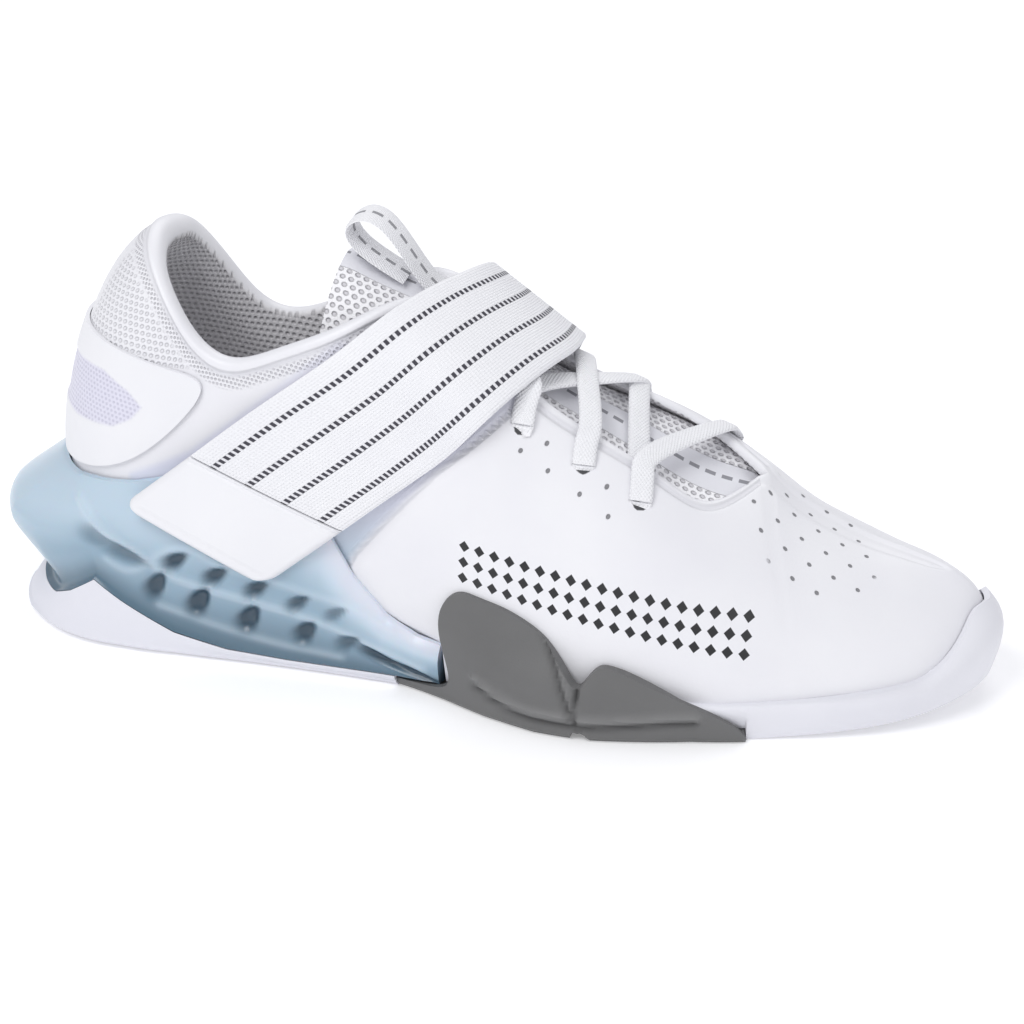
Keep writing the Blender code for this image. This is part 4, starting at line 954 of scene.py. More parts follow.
def midsole_paint():
    paint = Paint(
        "shoe_midsole", (0.42, 0.54, 0.64), 0.28, "midsole_translucent",
        Coat_Weight=0.25, Coat_Roughness=0.25, Subsurface_Weight=0.15, Subsurface_Scale=0.002,
    )
    rise = paint.mark("rise")
    painted_dent_shade = paint.mark("painted_dent_shade")
    soft = paint.noise(16.0)
    rise = paint.math("ADD", rise, paint.math("MULTIPLY", paint.math("SUBTRACT", soft, 0.5), 0.10))
    colour = paint.mix(paint.ramp(rise, 0.0, 0.35), (0.085, 0.15, 0.205), (0.27, 0.39, 0.49))
    colour = paint.mix(paint.ramp(rise, 0.35, 0.75), colour, (0.50, 0.62, 0.72))
    pale = paint.math("MULTIPLY", paint.ramp(rise, 0.55, 0.95), paint.ramp(paint.mark("front"), 0.045, 0.10))
    colour = paint.mix(pale, colour, (0.70, 0.73, 0.82))
    # painted highlight: the raised ribs painted paler
    rib = paint.math("MULTIPLY", paint.mark("rib"), 0.55, clamp=True)
    colour = paint.mix(rib, colour, (0.60, 0.71, 0.80))
    # painted shade: the hollows of the side painted dark
    colour = paint.mix(paint.math("MULTIPLY", painted_dent_shade, 1.3, clamp=True), colour, (0.035, 0.07, 0.105))
    paint.colour(colour)
    paint.bump(paint.noise(45.0), 0.0005, 0.25)
    return paint


def strap_paint():
    paint = Paint("shoe_strap", (0.82, 0.82, 0.86), 0.62, "strap_webbing")
    flat = paint.vector_mark("flat")
    split = paint.node("ShaderNodeSeparateXYZ")
    paint.links.new(flat, split.inputs[0])
    along, share = split.outputs[0], split.outputs[1]
    dashes = paint.math("SUBTRACT", paint.math("FRACT", paint.math("DIVIDE", along, 0.0018)), 0.5)
    dash = paint.math("SUBTRACT", 1.0, paint.ramp(paint.math("ABSOLUTE", dashes), 0.24, 0.34))
    lines = None
    for place in (0.155, 0.385, 0.620, 0.860):
        line = paint.band(share, place, 0.018, 0.004)
        lines = line if lines is None else paint.math("MAXIMUM", lines, line)
    dark = paint.math("MULTIPLY", lines, dash)
    colour = paint.mix(paint.noise(35.0), (0.82, 0.82, 0.855), (0.89, 0.89, 0.905))
    colour = paint.mix(paint.math("MULTIPLY", lines, 0.25), colour, (0.60, 0.59, 0.65))
    colour = paint.mix(dark, colour, (0.045, 0.043, 0.058))
    paint.colour(colour)
    rib = paint.math("SINE", paint.math("MULTIPLY", share, 2 * math.pi * 46))
    paint.bump(rib, 0.00012, 0.6)
    weave = paint.math("SINE", paint.math("MULTIPLY", along, 2 * math.pi / 0.0011))
    paint.bump(weave, 0.00008, 0.5)
    paint.bump(lines, 0.0002, 0.8)
    return paint


def tongue_paint():
    paint = Paint("shoe_tongue", (0.70, 0.70, 0.74), 0.8, "tongue_mesh")
    flat = paint.vector_mark("flat")
    split = paint.node("ShaderNodeSeparateXYZ")
    paint.links.new(flat, split.inputs[0])
    across = paint.math("ABSOLUTE", split.outputs[1])
    holes = paint.dots(flat, 0.0027, 0.28, 0.12, 0.0023)
    tape = paint.math("SUBTRACT", 1.0, paint.ramp(across, 0.0070, 0.0073))
    colour = paint.mix(holes, (0.90, 0.895, 0.915), (0.64, 0.63, 0.66))
    colour = paint.mix(tape, colour, (0.76, 0.76, 0.80))
    dash = paint.band(paint.math("FRACT", paint.math("DIVIDE", split.outputs[0], 0.0052)), 0.5, 0.30, 0.03)
    dash = paint.math("MULTIPLY", dash, paint.band(split.outputs[1], 0.0, 0.0007, 0.0002))
    colour = paint.mix(paint.math("MULTIPLY", dash, 0.8), colour, (0.16, 0.16, 0.18))
    paint.colour(colour)
    open_holes = paint.math("MULTIPLY", holes, paint.math("SUBTRACT", 1.0, tape))
    paint.bump(paint.math("SUBTRACT", tape, open_holes), 0.0007, 1.0)
    paint.bump(paint.noise(1500.0, 2.0), 0.0001, 0.5)
    return paint


def ribbon_paint(name, slot, dashes=False):
    paint = Paint(name, (0.84, 0.84, 0.87), 0.65, slot)
    flat = paint.vector_mark("flat")
    split = paint.node("ShaderNodeSeparateXYZ")
    paint.links.new(flat, split.inputs[0])
    along, across = split.outputs[0], split.outputs[1]
    colour = paint.mix(paint.noise(60.0), (0.85, 0.85, 0.88), (0.91, 0.91, 0.925))
    if dashes:
        mark = paint.band(paint.math("FRACT", paint.math("DIVIDE", along, 0.0052)), 0.5, 0.30, 0.03)
        mark = paint.math("MULTIPLY", mark, paint.band(across, 0.0, 0.0007, 0.0002))
        colour = paint.mix(paint.math("MULTIPLY", mark, 0.8), colour, (0.16, 0.16, 0.18))
    paint.colour(colour)
    rib = paint.math("SINE", paint.math("MULTIPLY", across, 2 * math.pi / 0.0011))
    weave = paint.math("SINE", paint.math("MULTIPLY", along, 2 * math.pi / 0.0014))
    paint.bump(paint.math("MULTIPLY", rib, weave), 0.00016, 0.8)
    return paint


def wrap_paint():
    paint = Paint("shoe_wrap", (0.13, 0.13, 0.13), 0.55, "rubber_grey", Coat_Weight=0.05)
    soft = paint.noise(40.0)
    plain = paint.mix(soft, (0.115, 0.115, 0.115), (0.155, 0.155, 0.155))
    # painted highlight: paler on the crease crests
    plain = paint.mix(paint.math("MULTIPLY", paint.mark("crest_highlight"), 0.5), plain, (0.24, 0.24, 0.24))
    # painted shade: darker in the grooves under the crease crests and along the notch's slit
    paint.colour(paint.mix(paint.math("MULTIPLY", paint.mark("groove_and_painted_shade"), 0.8), plain, (0.035, 0.035, 0.035)))
    paint.roughness(paint.math("ADD", 0.48, paint.math("MULTIPLY", soft, 0.15)))
    paint.bump(paint.noise(1400.0, 2.0), 0.00008, 0.6)
    return paint


# Pieces. Their tables of places in the side view are in millimetres.

FINE_TURNS = np.arange(0, ROUND, 0.1)
FINE_CLIMBS = np.linspace(0, 1, 65)


def cloth(along, across):
    """Fabric coordinates of a grid, in metres along it and across it."""
    along, across = np.broadcast_arrays(along, across)
    return np.stack([along, across, 0 * along], axis=-1)


def flat_marks(points):
    """Coordinates along and up the surface for fabric patterns, in metres."""
    along = np.linalg.norm(np.gradient(points, axis=0), axis=-1)
    up = np.linalg.norm(np.gradient(points, axis=1), axis=-1)
    middle = points.shape[1] // 2
    run = np.cumsum(along[:, middle])
    rise = np.cumsum(up, axis=1)
    return cloth(run[:, None], rise)


SIDE_HOLES = [(147.7, 75.8), (154.5, 77.2), (156, 70.8), (165.8, 65.3), (172.9, 66.8), (174.7, 60.1)]
PANEL_EDGE = [
    (150, 91), (123.5, 68.2), (115, 59.1), (106.2, 48.9), (99.7, 40.7), (97.5, 36.2), (98, 30.7),
    (100.7, 26.2), (107.6, 21.5), (115.4, 18.8), (130.5, 14.4),
]


FILM = [*PANEL_EDGE, (110, 8), (30, 20), (30, 56), (49, 66), (65, 79.5), (92.6, 103.3), (150, 99)]
FRONT = [*PANEL_EDGE, (130, 0), (290, 0), (290, 120), (150, 120)]


def upper_marks(points, turns, climbs):
    """Values that the upper's paint reads: distances to edges, seams and holes."""
    folded = np.minimum(turns, ROUND - turns)[:, None] + 0 * climbs[None]
    step = np.linalg.norm(np.diff(points, axis=1), axis=-1)
    down = np.concatenate([np.cumsum(step[:, ::-1], axis=1)[:, ::-1], np.zeros((len(turns), 1))], axis=1)
    open_top = folded < THROAT_END
    x, y, z = np.moveaxis(points, -1, 0)
    collar = open_top & (folded < 8.5)
    knit = smooth_step((down - 3.2 * MM) / (0.8 * MM)) * smooth_step((7.5 * MM - down) / (0.8 * MM))
    knit = np.where(collar, knit * smooth_step((8.5 - folded) / 1.0), 0.0)
    mesh = smooth_step((down - 7.0 * MM) / (2 * MM)) * smooth_step((3.9 - folded) / 0.4)
    mesh = mesh * smooth_step((folded - 0.55) / 0.15) * smooth_step((z - 88 * MM) / (3 * MM))
    panel = line_distance(points, np.array(PANEL_EDGE) * MM)
    seam = np.minimum(panel, np.abs(down - 2.9 * MM) + np.where(open_top, 0, 1))
    toe = ((x - 229 * MM) / (20 * MM)) ** 2 + ((y + 5 * MM) / (18 * MM)) ** 2
    toe = smooth_step((1.05 - toe) / 0.1) * (z > 25 * MM)
    eyes = np.full(x.shape, 1.0)
    for number in range(len(EYELETS)):
        for hand in (-1, 1):
            away = np.linalg.norm(points - eyelet(number, hand, 0.0), axis=-1)
            eyes = np.minimum(eyes, away)
    film = smooth_step(0.5 - signed(points, np.array(FILM) * MM) / (2.4 * MM))
    along = (x - 132 * MM)
    middle = 38 * MM - 0.17 * along
    strip = np.stack([along, z - middle, 0 * x], axis=-1)
    front = smooth_step(-signed(points, np.array(FRONT) * MM) / (2.4 * MM))
    return {
        "flat": flat_marks(points), "rim": down, "knit": knit, "mesh": mesh, "seam": seam,
        "toe": toe, "eyelet": eyes, "film": film, "strip": strip, "height": z, "front": front,
    }


def dress_upper():
    """The hollow upper: its lining, rolled collar, throat rims, front panel and pinholes."""
    turns, climbs = FINE_TURNS, FINE_CLIMBS
    folded = np.minimum(turns, ROUND - turns)
    pad = smooth_step((10.0 - folded) / 3.0)[:, None] * smooth_step((climbs - 0.45) / 0.4)[None]
    heel = 1 + HEEL_PAD * smooth_step((3.5 - folded) / 3.5)[:, None]
    low, high = layer(turns, climbs, -UPPER_WALL - COLLAR_PAD * heel * pad, 0.0)
    normals = wall_normals(turns, climbs)
    marks = upper_marks(high, turns, climbs)
    down = marks["rim"]
    joined = on_spine(turns)[:, None]
    # a raised double rim round the throat, and the collar's rolled edge
    throat = smooth_step((folded - 9.5) / 1.0)[:, None] * ~joined
    ridge = 0.45 * MM * np.exp(-(((down - 1.6 * MM) / (0.9 * MM)) ** 2))
    ridge = ridge + 0.35 * MM * np.exp(-(((down - 4.6 * MM) / (0.8 * MM)) ** 2))
    roll = 0.9 * MM * np.exp(-(((down - 1.2 * MM) / (1.6 * MM)) ** 2))
    roll = roll * smooth_step((9 - folded) / 2)[:, None]
    roll = roll * ~joined
    swell = 0.35 * MM * np.sin(high[..., 0] * 95 + high[..., 2] * 60)
    swell = swell * smooth_step((down - 8 * MM) / (10 * MM))
    # the panel runs smoothly past the throat's end
    wide = np.concatenate([high[-10:], high, high[:10]])
    weights = np.exp(-((np.arange(-10, 11) / 5.0) ** 2))
    even = sum(w * wide[k : k + len(high)] for k, w in enumerate(weights)) / weights.sum()
    share = np.exp(-(((folded - 14.0) / 1.3) ** 2))[:, None] * smooth_step((0.93 - climbs) / 0.25)[None]
    high = high + (even - high) * share[..., None]
    step = 0.8 * MM * marks["front"] * smooth_step((down - 3 * MM) / (3 * MM))
    high = high + normals * (ridge * throat + roll + swell * 0.5 + step)[..., None]
    count, rows = len(turns), len(climbs)
    # the edge: a half round between the outer and the inner skin
    arcs = 5
    centre = (high[:, -1] + low[:, -1]) / 2
    reach = (high[:, -1] - low[:, -1]) / 2
    up = unit(high[:, -1] - high[:, -3])
    thick = np.linalg.norm(reach, axis=1, keepdims=True)
    cap = []
    for k in range(1, arcs + 1):
        angle = math.pi * k / (arcs + 1)
        bow = centre + reach * math.cos(angle) + up * thick * math.sin(angle) * 0.62
        cap.append(np.where(joined, centre + reach * math.cos(angle), bow))
    wall = np.concatenate([high, np.stack(cap, axis=1), low[:, ::-1]], axis=1)
    columns = wall.shape[1]
    index = np.arange(count * columns).reshape(count, columns)
    faces = []
    open_edge = ~on_spine(turns)
    for i in range(count):
        j = (i + 1) % count
        for k in range(columns):
            m = (k + 1) % columns
            over_edge = rows - 1 <= k < rows + arcs
            if over_edge and not (open_edge[i] or open_edge[j]):
                continue
            faces.append((index[i, k], index[j, k], index[j, m], index[i, m]))
    lining = np.zeros((count, columns))
    lining[:, rows + arcs - 1 :] = 1.0
    spread = {}
    for key, value in marks.items():
        edge = np.repeat(value[:, -1:], arcs, axis=1)
        spread[key] = np.concatenate([value, edge, value[:, ::-1]], axis=1)
    for key in ("eyelet", "seam"):
        spread[key][:, rows + arcs :] = 1.0
    for key in ("mesh", "knit", "film", "toe"):
        spread[key][:, rows:] = 0.0
    spread["lining"] = lining
    flat = {k: v.reshape(-1, 3) if v.ndim == 3 else v.ravel() for k, v in spread.items()}
    paint = upper_paint()
    obj = make_mesh("upper_dressed", wall.reshape(-1, 3), faces, paint.material, flat, 60)
    work = bmesh.new()
    work.from_mesh(obj.data)
    bmesh.ops.remove_doubles(work, verts=work.verts, dist=0.005 * MM)
    work.to_mesh(obj.data)
    work.free()
    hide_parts("upper")


# The hollows of the midsole's side
DENTS = [
    # x, z, half length, half height, lean in degrees, depth, darkness of the painted shade (millimetres)
    (20.5, 35.8, 6.5, 2.4, -20, 1.0, 0.35),
    (30.1, 32.4, 8.0, 2.6, -14, 1.5, 0.5),
    (45.6, 32.7, 4.4, 2.3, 32, 2.0, 0.85),
    (57.9, 29.4, 4.4, 2.3, 32, 2.0, 0.85),
    (70.4, 26.7, 4.2, 2.2, 32, 2.0, 0.8),
    (83.2, 23.8, 4.0, 2.0, 32, 1.8, 0.7),
    (94.8, 22.0, 3.8, 1.8, 32, 1.2, 0.5),
    (38.8, 23.4, 5.2, 2.8, 58, 2.4, 0.95),
    (52.3, 19.9, 5.4, 3.0, 58, 2.6, 1.0),
    (67.7, 16.3, 5.0, 3.0, 58, 2.6, 1.0),
    (85.2, 14.3, 4.4, 2.8, 50, 2.2, 0.9),
    (98.4, 13.0, 4.4, 2.2, 30, 1.6, 0.6),
    (108.0, 9.4, 8.0, 1.7, -22, 1.8, 0.8),
    (119.0, 6.4, 8.0, 1.3, -14, 1.4, 0.8),
]
RIBS = [
    [(14, 46), (22, 39), (33, 34), (45, 27.5), (60, 24), (75, 21.5), (90, 18.6), (105, 14), (122, 9)],
    [(24, 30), (33, 28), (46, 37.5), (58, 34), (72, 31), (86, 28), (100, 25), (112, 20)],
    [(40, 17), (52, 14), (66, 11), (82, 9), (96, 8)],
]


def fine_turns(front, pace=0.125):
    end = turn_at(front)
    return [t for t in np.arange(0, LAST, pace) if t < end - 0.05] + [end]


def dress_midsole():
    """The translucent wedge with its ribs and two rows of hollows."""
    turns, pairs = both_sides(fine_turns(MIDSOLE_FRONT, 0.0625))
    side = by_turn(MIDSOLE_SIDE, turns)
    base, out = midsole_base(turns)
    floor = PLATE_FLOOR + GAP
    rings = [
        ring(turns, out - 7 * MM, floor),
        ring(turns, out, np.maximum(base + GAP, floor)),
        ring(turns, side[:, 3] * HEEL_FLARE, np.maximum(side[:, 2] * HEEL_STACK, floor + 1 * MM)),
        ring(turns, side[:, 5] * HEEL_FLARE, side[:, 4] * HEEL_STACK),
        ring(turns, side[:, 7] * HEEL_FLARE, side[:, 6] * HEEL_STACK),
    ]
    lips = np.array([climb_at(t, h * HEEL_STACK) for t, h in zip(turns, side[:, 8])])
    rings.append(np.array([
        layer([t], [c * 0.985], GAP, GAP + stand * HEEL_FLARE)[1][0, 0]
        for t, c, stand in zip(turns, lips, side[:, 9])
    ]))
    rings += [inner_ring(turns, lips, share) for share in (1.0, 0.75, 0.5, 0.25, 0.0)]
    rings.append(seat_ring(turns))
    fine = refine(rings, (0, 1, 5, 6, 10, 11), 12)
    _, away = foot_line(turns)
    x, z = fine[..., 0] / MM, fine[..., 2] / MM
    outer = np.zeros(len(fine))
    outer[10:60] = 1
    painted_dent_shade = np.zeros(x.shape)
    depth = np.zeros(x.shape)
    # each hollow is pushed in by its depth and painted dark by its darkness: painted shade
    for cx, cz, rx, rz, lean, deep, dark in DENTS:
        cos, sin = math.cos(math.radians(lean)), math.sin(math.radians(lean))
        along = (x - cx) * cos + (z - cz) * sin
        across = (z - cz) * cos - (x - cx) * sin
        away_from = (along / rx) ** 2 + (across / (rz * (1 - 0.35 * np.clip(along / rx, -1, 1)))) ** 2
        painted_dent_shade = np.maximum(painted_dent_shade, dark * np.exp(-(away_from**2.0)))
        depth = depth + deep * np.exp(-(away_from**1.6))
    # the raised ribs, pushed out and also painted paler as a painted highlight
    ridge = np.zeros(x.shape)
    for rib, size in zip(RIBS, (0.9, 0.6, 0.6)):
        line = smooth_line(rib, 4)
        ridge = np.maximum(ridge, size * np.exp(-((line_distance(fine, line) / (1.5 * MM)) ** 2)))
    push = (ridge - depth) * outer[:, None] * MM
    fine = fine + away[None] * push[..., None]
    low = side[:, 0] * HEEL_STACK
    high = side[:, 8] * HEEL_STACK
    rise = (fine[..., 2] - low) / (high - low)
    folded = np.minimum(turns, ROUND - turns)
    rise = rise + 0.10 * smooth_step((1.8 - folded) / 1.8)
    paint = midsole_paint()
    front = fine[..., 0]
    marks = {
        "rise": rise.ravel(), "painted_dent_shade": (painted_dent_shade * outer[:, None]).ravel(),
        "rib": (ridge * outer[:, None]).ravel(), "front": front.ravel(),
    }
    obj = loft("midsole_dressed", fine, paint.material, pairs, marks, mouths=[pairs[-1]])
    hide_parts("midsole")


def dress_heel_plate():
    """The white plate under the heel."""
    turns, pairs = both_sides(fine_turns(PLATE_FRONT))
    side = by_turn(PLATE_SIDE, turns) * HEEL_FLARE
    base, out = midsole_base(turns)
    edge = np.minimum(PLATE_EDGE, base * 0.6)
    rings = [
        ring(turns, side[:, 0], 0.0),
        ring(turns, side[:, 1] - 0.5 * MM, edge * 0.55),
        ring(turns, side[:, 1], edge),
        ring(turns, (side[:, 1] + out) / 2 + 0.4 * MM, (edge + base) / 2),
        ring(turns, out, np.maximum(base, PLATE_FLOOR - 0.2 * MM)),
        ring(turns, out - 7 * MM, PLATE_FLOOR),
    ]
    fine = refine(rings, (0, 2, 4, 5), 4)
    paint = plain_paint(
        "shoe_rubber_heel", "rubber_white", (0.78, 0.78, 0.83), (0.70, 0.70, 0.76), 0.5, 900.0, 0.00006
    )
    obj = loft("outsole_heel_dressed", fine, paint.material, pairs)
    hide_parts("outsole_heel")


def dress_forefoot():
    """The white forefoot rubber with its toe bumper."""
    start = turn_at(MIDSOLE_FRONT + 5 * GAP)
    step = turn_at(WRAP_FRONT)
    near = [t for t in np.arange(0, LAST + 0.01, 0.125) if start + 0.05 < t and abs(t - step) > 0.05]
    turns, pairs = both_sides(sorted([start, step, turn_at(WRAP_FRONT + GAP), *near]))
    folded = np.minimum(turns, ROUND - turns)
    under = ring(turns, 0.0, 0.0)
    low = np.where(folded <= step + 1e-6, WRAP_FLOOR + GAP, floor_rise(under))
    width = RUBBER_EDGE + TOE_RUBBER * smooth_step((folded - 13) / 4)
    top = rubber_top(turns)
    lips = np.array([climb_at(t, h) for t, h in zip(turns, top)])

    def stood(share, thick):
        return np.array([
            layer([t], [share * c], 0, GAP + w * thick)[1][0, 0] for t, c, w in zip(turns, lips, width)
        ])

    rings = [
        ring(turns, width - 1.0 * MM, low),
        ring(turns, width, low + 1.6 * MM),
        stood(0.45, 1.0),
        stood(1.0, 0.55),
        *[inner_ring(turns, lips, share) for share in (1.0, 0.75, 0.5, 0.25, 0.0)],
        seat_ring(turns),
    ]
    fine = refine(rings, (0, 1, 3, 4, 8, 9), 5)
    paint = plain_paint(
        "shoe_rubber_fore", "rubber_white", (0.80, 0.80, 0.84), (0.72, 0.72, 0.77), 0.5, 900.0, 0.00006
    )
    obj = loft("outsole_forefoot_dressed", fine, paint.material, pairs, mouths=[pairs[0]])
    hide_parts("outsole_forefoot")


WING_LINE = [
    (107.0, 2.5), (118.0, 3.2), (128.0, 4.8), (130.9, 9.5), (129.2, 17.0), (127.4, 25.0), (128.6, 31.5),
    (133.2, 35.6), (139.5, 35.2), (147.5, 33.6), (155.0, 30.8), (160.8, 27.2), (165.6, 22.0),
    (168.6, 18.2), (171.6, 15.9), (174.2, 18.6), (177.0, 21.4), (180.2, 21.8), (186.0, 20.4),
    (196.0, 16.6), (207.0, 11.6), (214.0, 7.6), (218.4, 3.5), (219.0, -2.0),
]
CREASES = [
    [(140, 12.5), (146.5, 9.6), (156.9, 7.4), (177.7, 7.4), (195.3, 9.0), (206, 9.4)],
    [(158, 34), (161.9, 29.0), (167, 19), (171.0, 10)],
]


def dress_wrap():
    """The grey rubber under the ball, its wings cut to a smooth outline."""
    start, end = turn_at(106 * MM), turn_at(WRAP_FRONT + 6 * MM)
    near = [t for t in np.arange(0, LAST, 0.0625) if start + 0.04 < t < end - 0.04]
    turns, pairs = both_sides([start, *near, end])
    side = by_turn(WRAP_SIDE, turns) * OUTRIGGER
    medial = np.where(turns > LAST, 0.55, 1.0)
    side = RUBBER_EDGE + 2 * GAP + WRAP_WALL + (side - RUBBER_EDGE - WRAP_WALL) * medial[:, None]
    rubber = rubber_top(turns)
    heights = (rubber + 2.5 * MM, rubber + 9 * MM, rubber + 18 * MM, rubber + 30 * MM)
    climbs = [np.array([climb_at(t, h) for t, h in zip(turns, level)]) for level in heights]

    def over(level, stand):
        return np.array([layer([t], [c], 0, stand)[1][0, 0] for t, c in zip(turns, climbs[level])])

    clear = RUBBER_EDGE + 5 * GAP
    rings = [
        ring(turns, side[:, 0] - 1.5 * MM, 0.0),
        ring(turns, side[:, 0], 1.5 * MM),
        ring(turns, side[:, 1], rubber),
        over(1, 3 * GAP + WRAP_WALL + 1 * MM),
        over(2, GAP + WRAP_WALL),
        over(3, GAP + WRAP_WALL * 0.7),
        over(3, CURVED_GAP),
        over(2, 1.2 * CURVED_GAP),
        over(1, 2 * CURVED_GAP),
        over(0, RUBBER_EDGE * 0.6 + 6 * GAP),
        ring(turns, clear + 0.4 * MM, rubber - 1.0 * MM),
        ring(turns, clear, WRAP_FLOOR + 2.0 * MM),
        ring(turns, clear, WRAP_FLOOR),
    ]
    fine = refine(rings, (0, 1, 5, 6, 9, 12), 8)
    _, away = foot_line(turns)
    flat = fine[8:40]
    # the crease crests, pushed out and also painted paler: painted highlight
    crest_highlight = np.zeros(fine.shape[:2])
    groove_and_painted_shade = np.zeros(fine.shape[:2])
    for crease, width in zip(CREASES, (1.5, 1.3)):
        gap = line_distance(flat, smooth_line(crease, 4))
        crest_highlight[8:40] = np.maximum(crest_highlight[8:40], np.exp(-((gap / (width * MM)) ** 2)))
        # below each crest: pushed in and painted dark as painted shade
        under = line_distance(flat, smooth_line(crease, 4) + np.array([-0.6 * MM, -2.4 * MM]))
        groove_and_painted_shade[8:40] = np.maximum(groove_and_painted_shade[8:40], 0.75 * np.exp(-((under / (1.1 * MM)) ** 2)))
    # the notch's slit: pushed in and painted dark as painted shade
    gap = line_distance(flat, np.array([(171.6, 15.9), (171.0, 9), (172.5, 1.5)]) * MM)
    groove_and_painted_shade[8:40] = np.maximum(groove_and_painted_shade[8:40], np.exp(-((gap / (0.7 * MM)) ** 2)))
    push = (1.5 * crest_highlight - 1.2 * groove_and_painted_shade) * MM
    fine = fine + away[None] * push[..., None]
    paint = wrap_paint()
    marks = {"crest_highlight": crest_highlight.ravel(), "groove_and_painted_shade": groove_and_painted_shade.ravel()}
    obj = loft("side_wrap_dressed", fine, paint.material, pairs, marks, [pairs[0], pairs[-1]], 45)
    line = smooth_line(WING_LINE, 5)
    outline = [(107 * MM, -4 * MM), *map(tuple, line), (219 * MM, -4 * MM)]
    notch = [(178 * MM, -4 * MM), (174.5 * MM, 2.2 * MM), (170.5 * MM, 2.4 * MM), (168.6 * MM, -4 * MM)]
    outline_cut(obj, outline + notch, "MANIFOLD")
    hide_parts("side_wrap")


def dress_insole():
    """The sock liner."""
    turns, pairs = both_sides(list(np.arange(0, LAST + 0.01, 0.25)))
    inset = -(UPPER_WALL + 3 * GAP)
    rings = [
        ring(turns, inset, 0.0),
        ring(turns, inset + 0.2 * MM, INSOLE_THICK * 0.8),
        ring(turns, inset - 0.8 * MM, INSOLE_THICK),
    ]
    for points in rings:
        points[:, 2] += stack_height(points)
    paint = plain_paint(
        "shoe_insole", "insole_foam", (0.50, 0.49, 0.52), (0.40, 0.39, 0.42), 0.9, 1200.0, 0.0002
    )
    obj = loft("insole_dressed", rings, paint.material, pairs)
    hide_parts("insole")


COUNTER_LINE = [
    (-15, 54.2), (-2, 52.6), (8, 53.4), (20.5, 56.4), (32, 62.0), (41.5, 69.8), (48.5, 77.5),
    (52.2, 83.4), (51.6, 87.6), (44, 89.6), (33, 91.4), (20, 93.6), (10, 94.4), (-15, 93.0),
]
WINDOW = [
    (-12, 84), (14.5, 86.0), (20.7, 86.0), (29.8, 81.9), (34.9, 77.6),
    (31, 73), (24.6, 69.4), (10, 68.0), (-12, 70),
]


def dress_counter():
    """The skin round the heel with its knitted window."""
    turns = np.arange(-5.0, 5.01, 0.0625)
    climbs = np.linspace(0.12, 0.93, 72)
    low, high = layer(turns, climbs, GAP, GAP + COUNTER_THICK)
    normals = wall_normals(turns, climbs)
    window = signed(high, np.array(WINDOW) * MM)
    hollow = smooth_step(-window / (1.6 * MM))
    high = high - normals * (hollow * 0.5 * MM)[..., None]
    marks = {"window": window, "flat": flat_marks(high)}
    paint = Paint("shoe_counter", (0.82, 0.82, 0.84), 0.42, "counter_synthetic", Coat_Weight=0.08)
    soft = paint.noise(30.0)
    knit = paint.dots(paint.vector_mark("flat"), 0.0016, 0.28, 0.14, 0.0014)
    within = paint.math("SUBTRACT", 1.0, paint.ramp(paint.mark("window"), -0.0012, 0.0002))
    colour = paint.mix(soft, (0.775, 0.775, 0.81), (0.86, 0.86, 0.875))
    inner = paint.mix(knit, (0.72, 0.71, 0.82), (0.60, 0.59, 0.70))
    paint.colour(paint.mix(within, colour, inner))
    paint.bump(paint.noise(900.0, 2.0), 0.00006, 0.6)
    paint.bump(paint.math("MULTIPLY", knit, paint.math("SUBTRACT", 0.0, within)), 0.0003, 0.6)
    obj = shell("heel_counter_dressed", low, high, paint.material, marks)
    line = smooth_line(COUNTER_LINE[1:-1], 6)
    outline = [(-15 * MM, 54.2 * MM), *map(tuple, line), (-15 * MM, 93 * MM)]
    outline_cut(obj, outline)
    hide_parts("heel_counter")


def fine_strap(places, shares):
    """The strap's underside and its normals, finely sampled."""
    rows = strap_rows(places)
    across = Spline(STRAP_ACROSS, np.moveaxis(rows, 1, 0).reshape(len(STRAP_ACROSS), -1))
    grid = across(shares).reshape(len(shares), len(places), 3)
    grid = np.moveaxis(grid, 0, 1)
    normals = unit(np.cross(np.gradient(grid, axis=1), np.gradient(grid, axis=0)))
    return grid, normals


def dress_strap():
    """The webbing strap over the instep."""
    places = np.linspace(1.015, len(STRAP) - 1, 230)
    shares = np.linspace(0, 1, 41)
    grid, normals = fine_strap(places, shares)
    edge = np.minimum(shares, 1 - shares) * 40
    round_off = np.clip(1 - edge, 0, 1) ** 2 * 0.35
    high = grid + normals * (STRAP_THICK * (1 - round_off))[None, :, None]
    run = np.cumsum(np.linalg.norm(np.gradient(grid[:, 20], axis=0), axis=-1))
    flat = cloth(run[:, None], shares[None])
    paint = strap_paint()
    obj = shell("strap_dressed", grid, high, paint.material, {"flat": flat}, 60)
    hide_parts("strap")


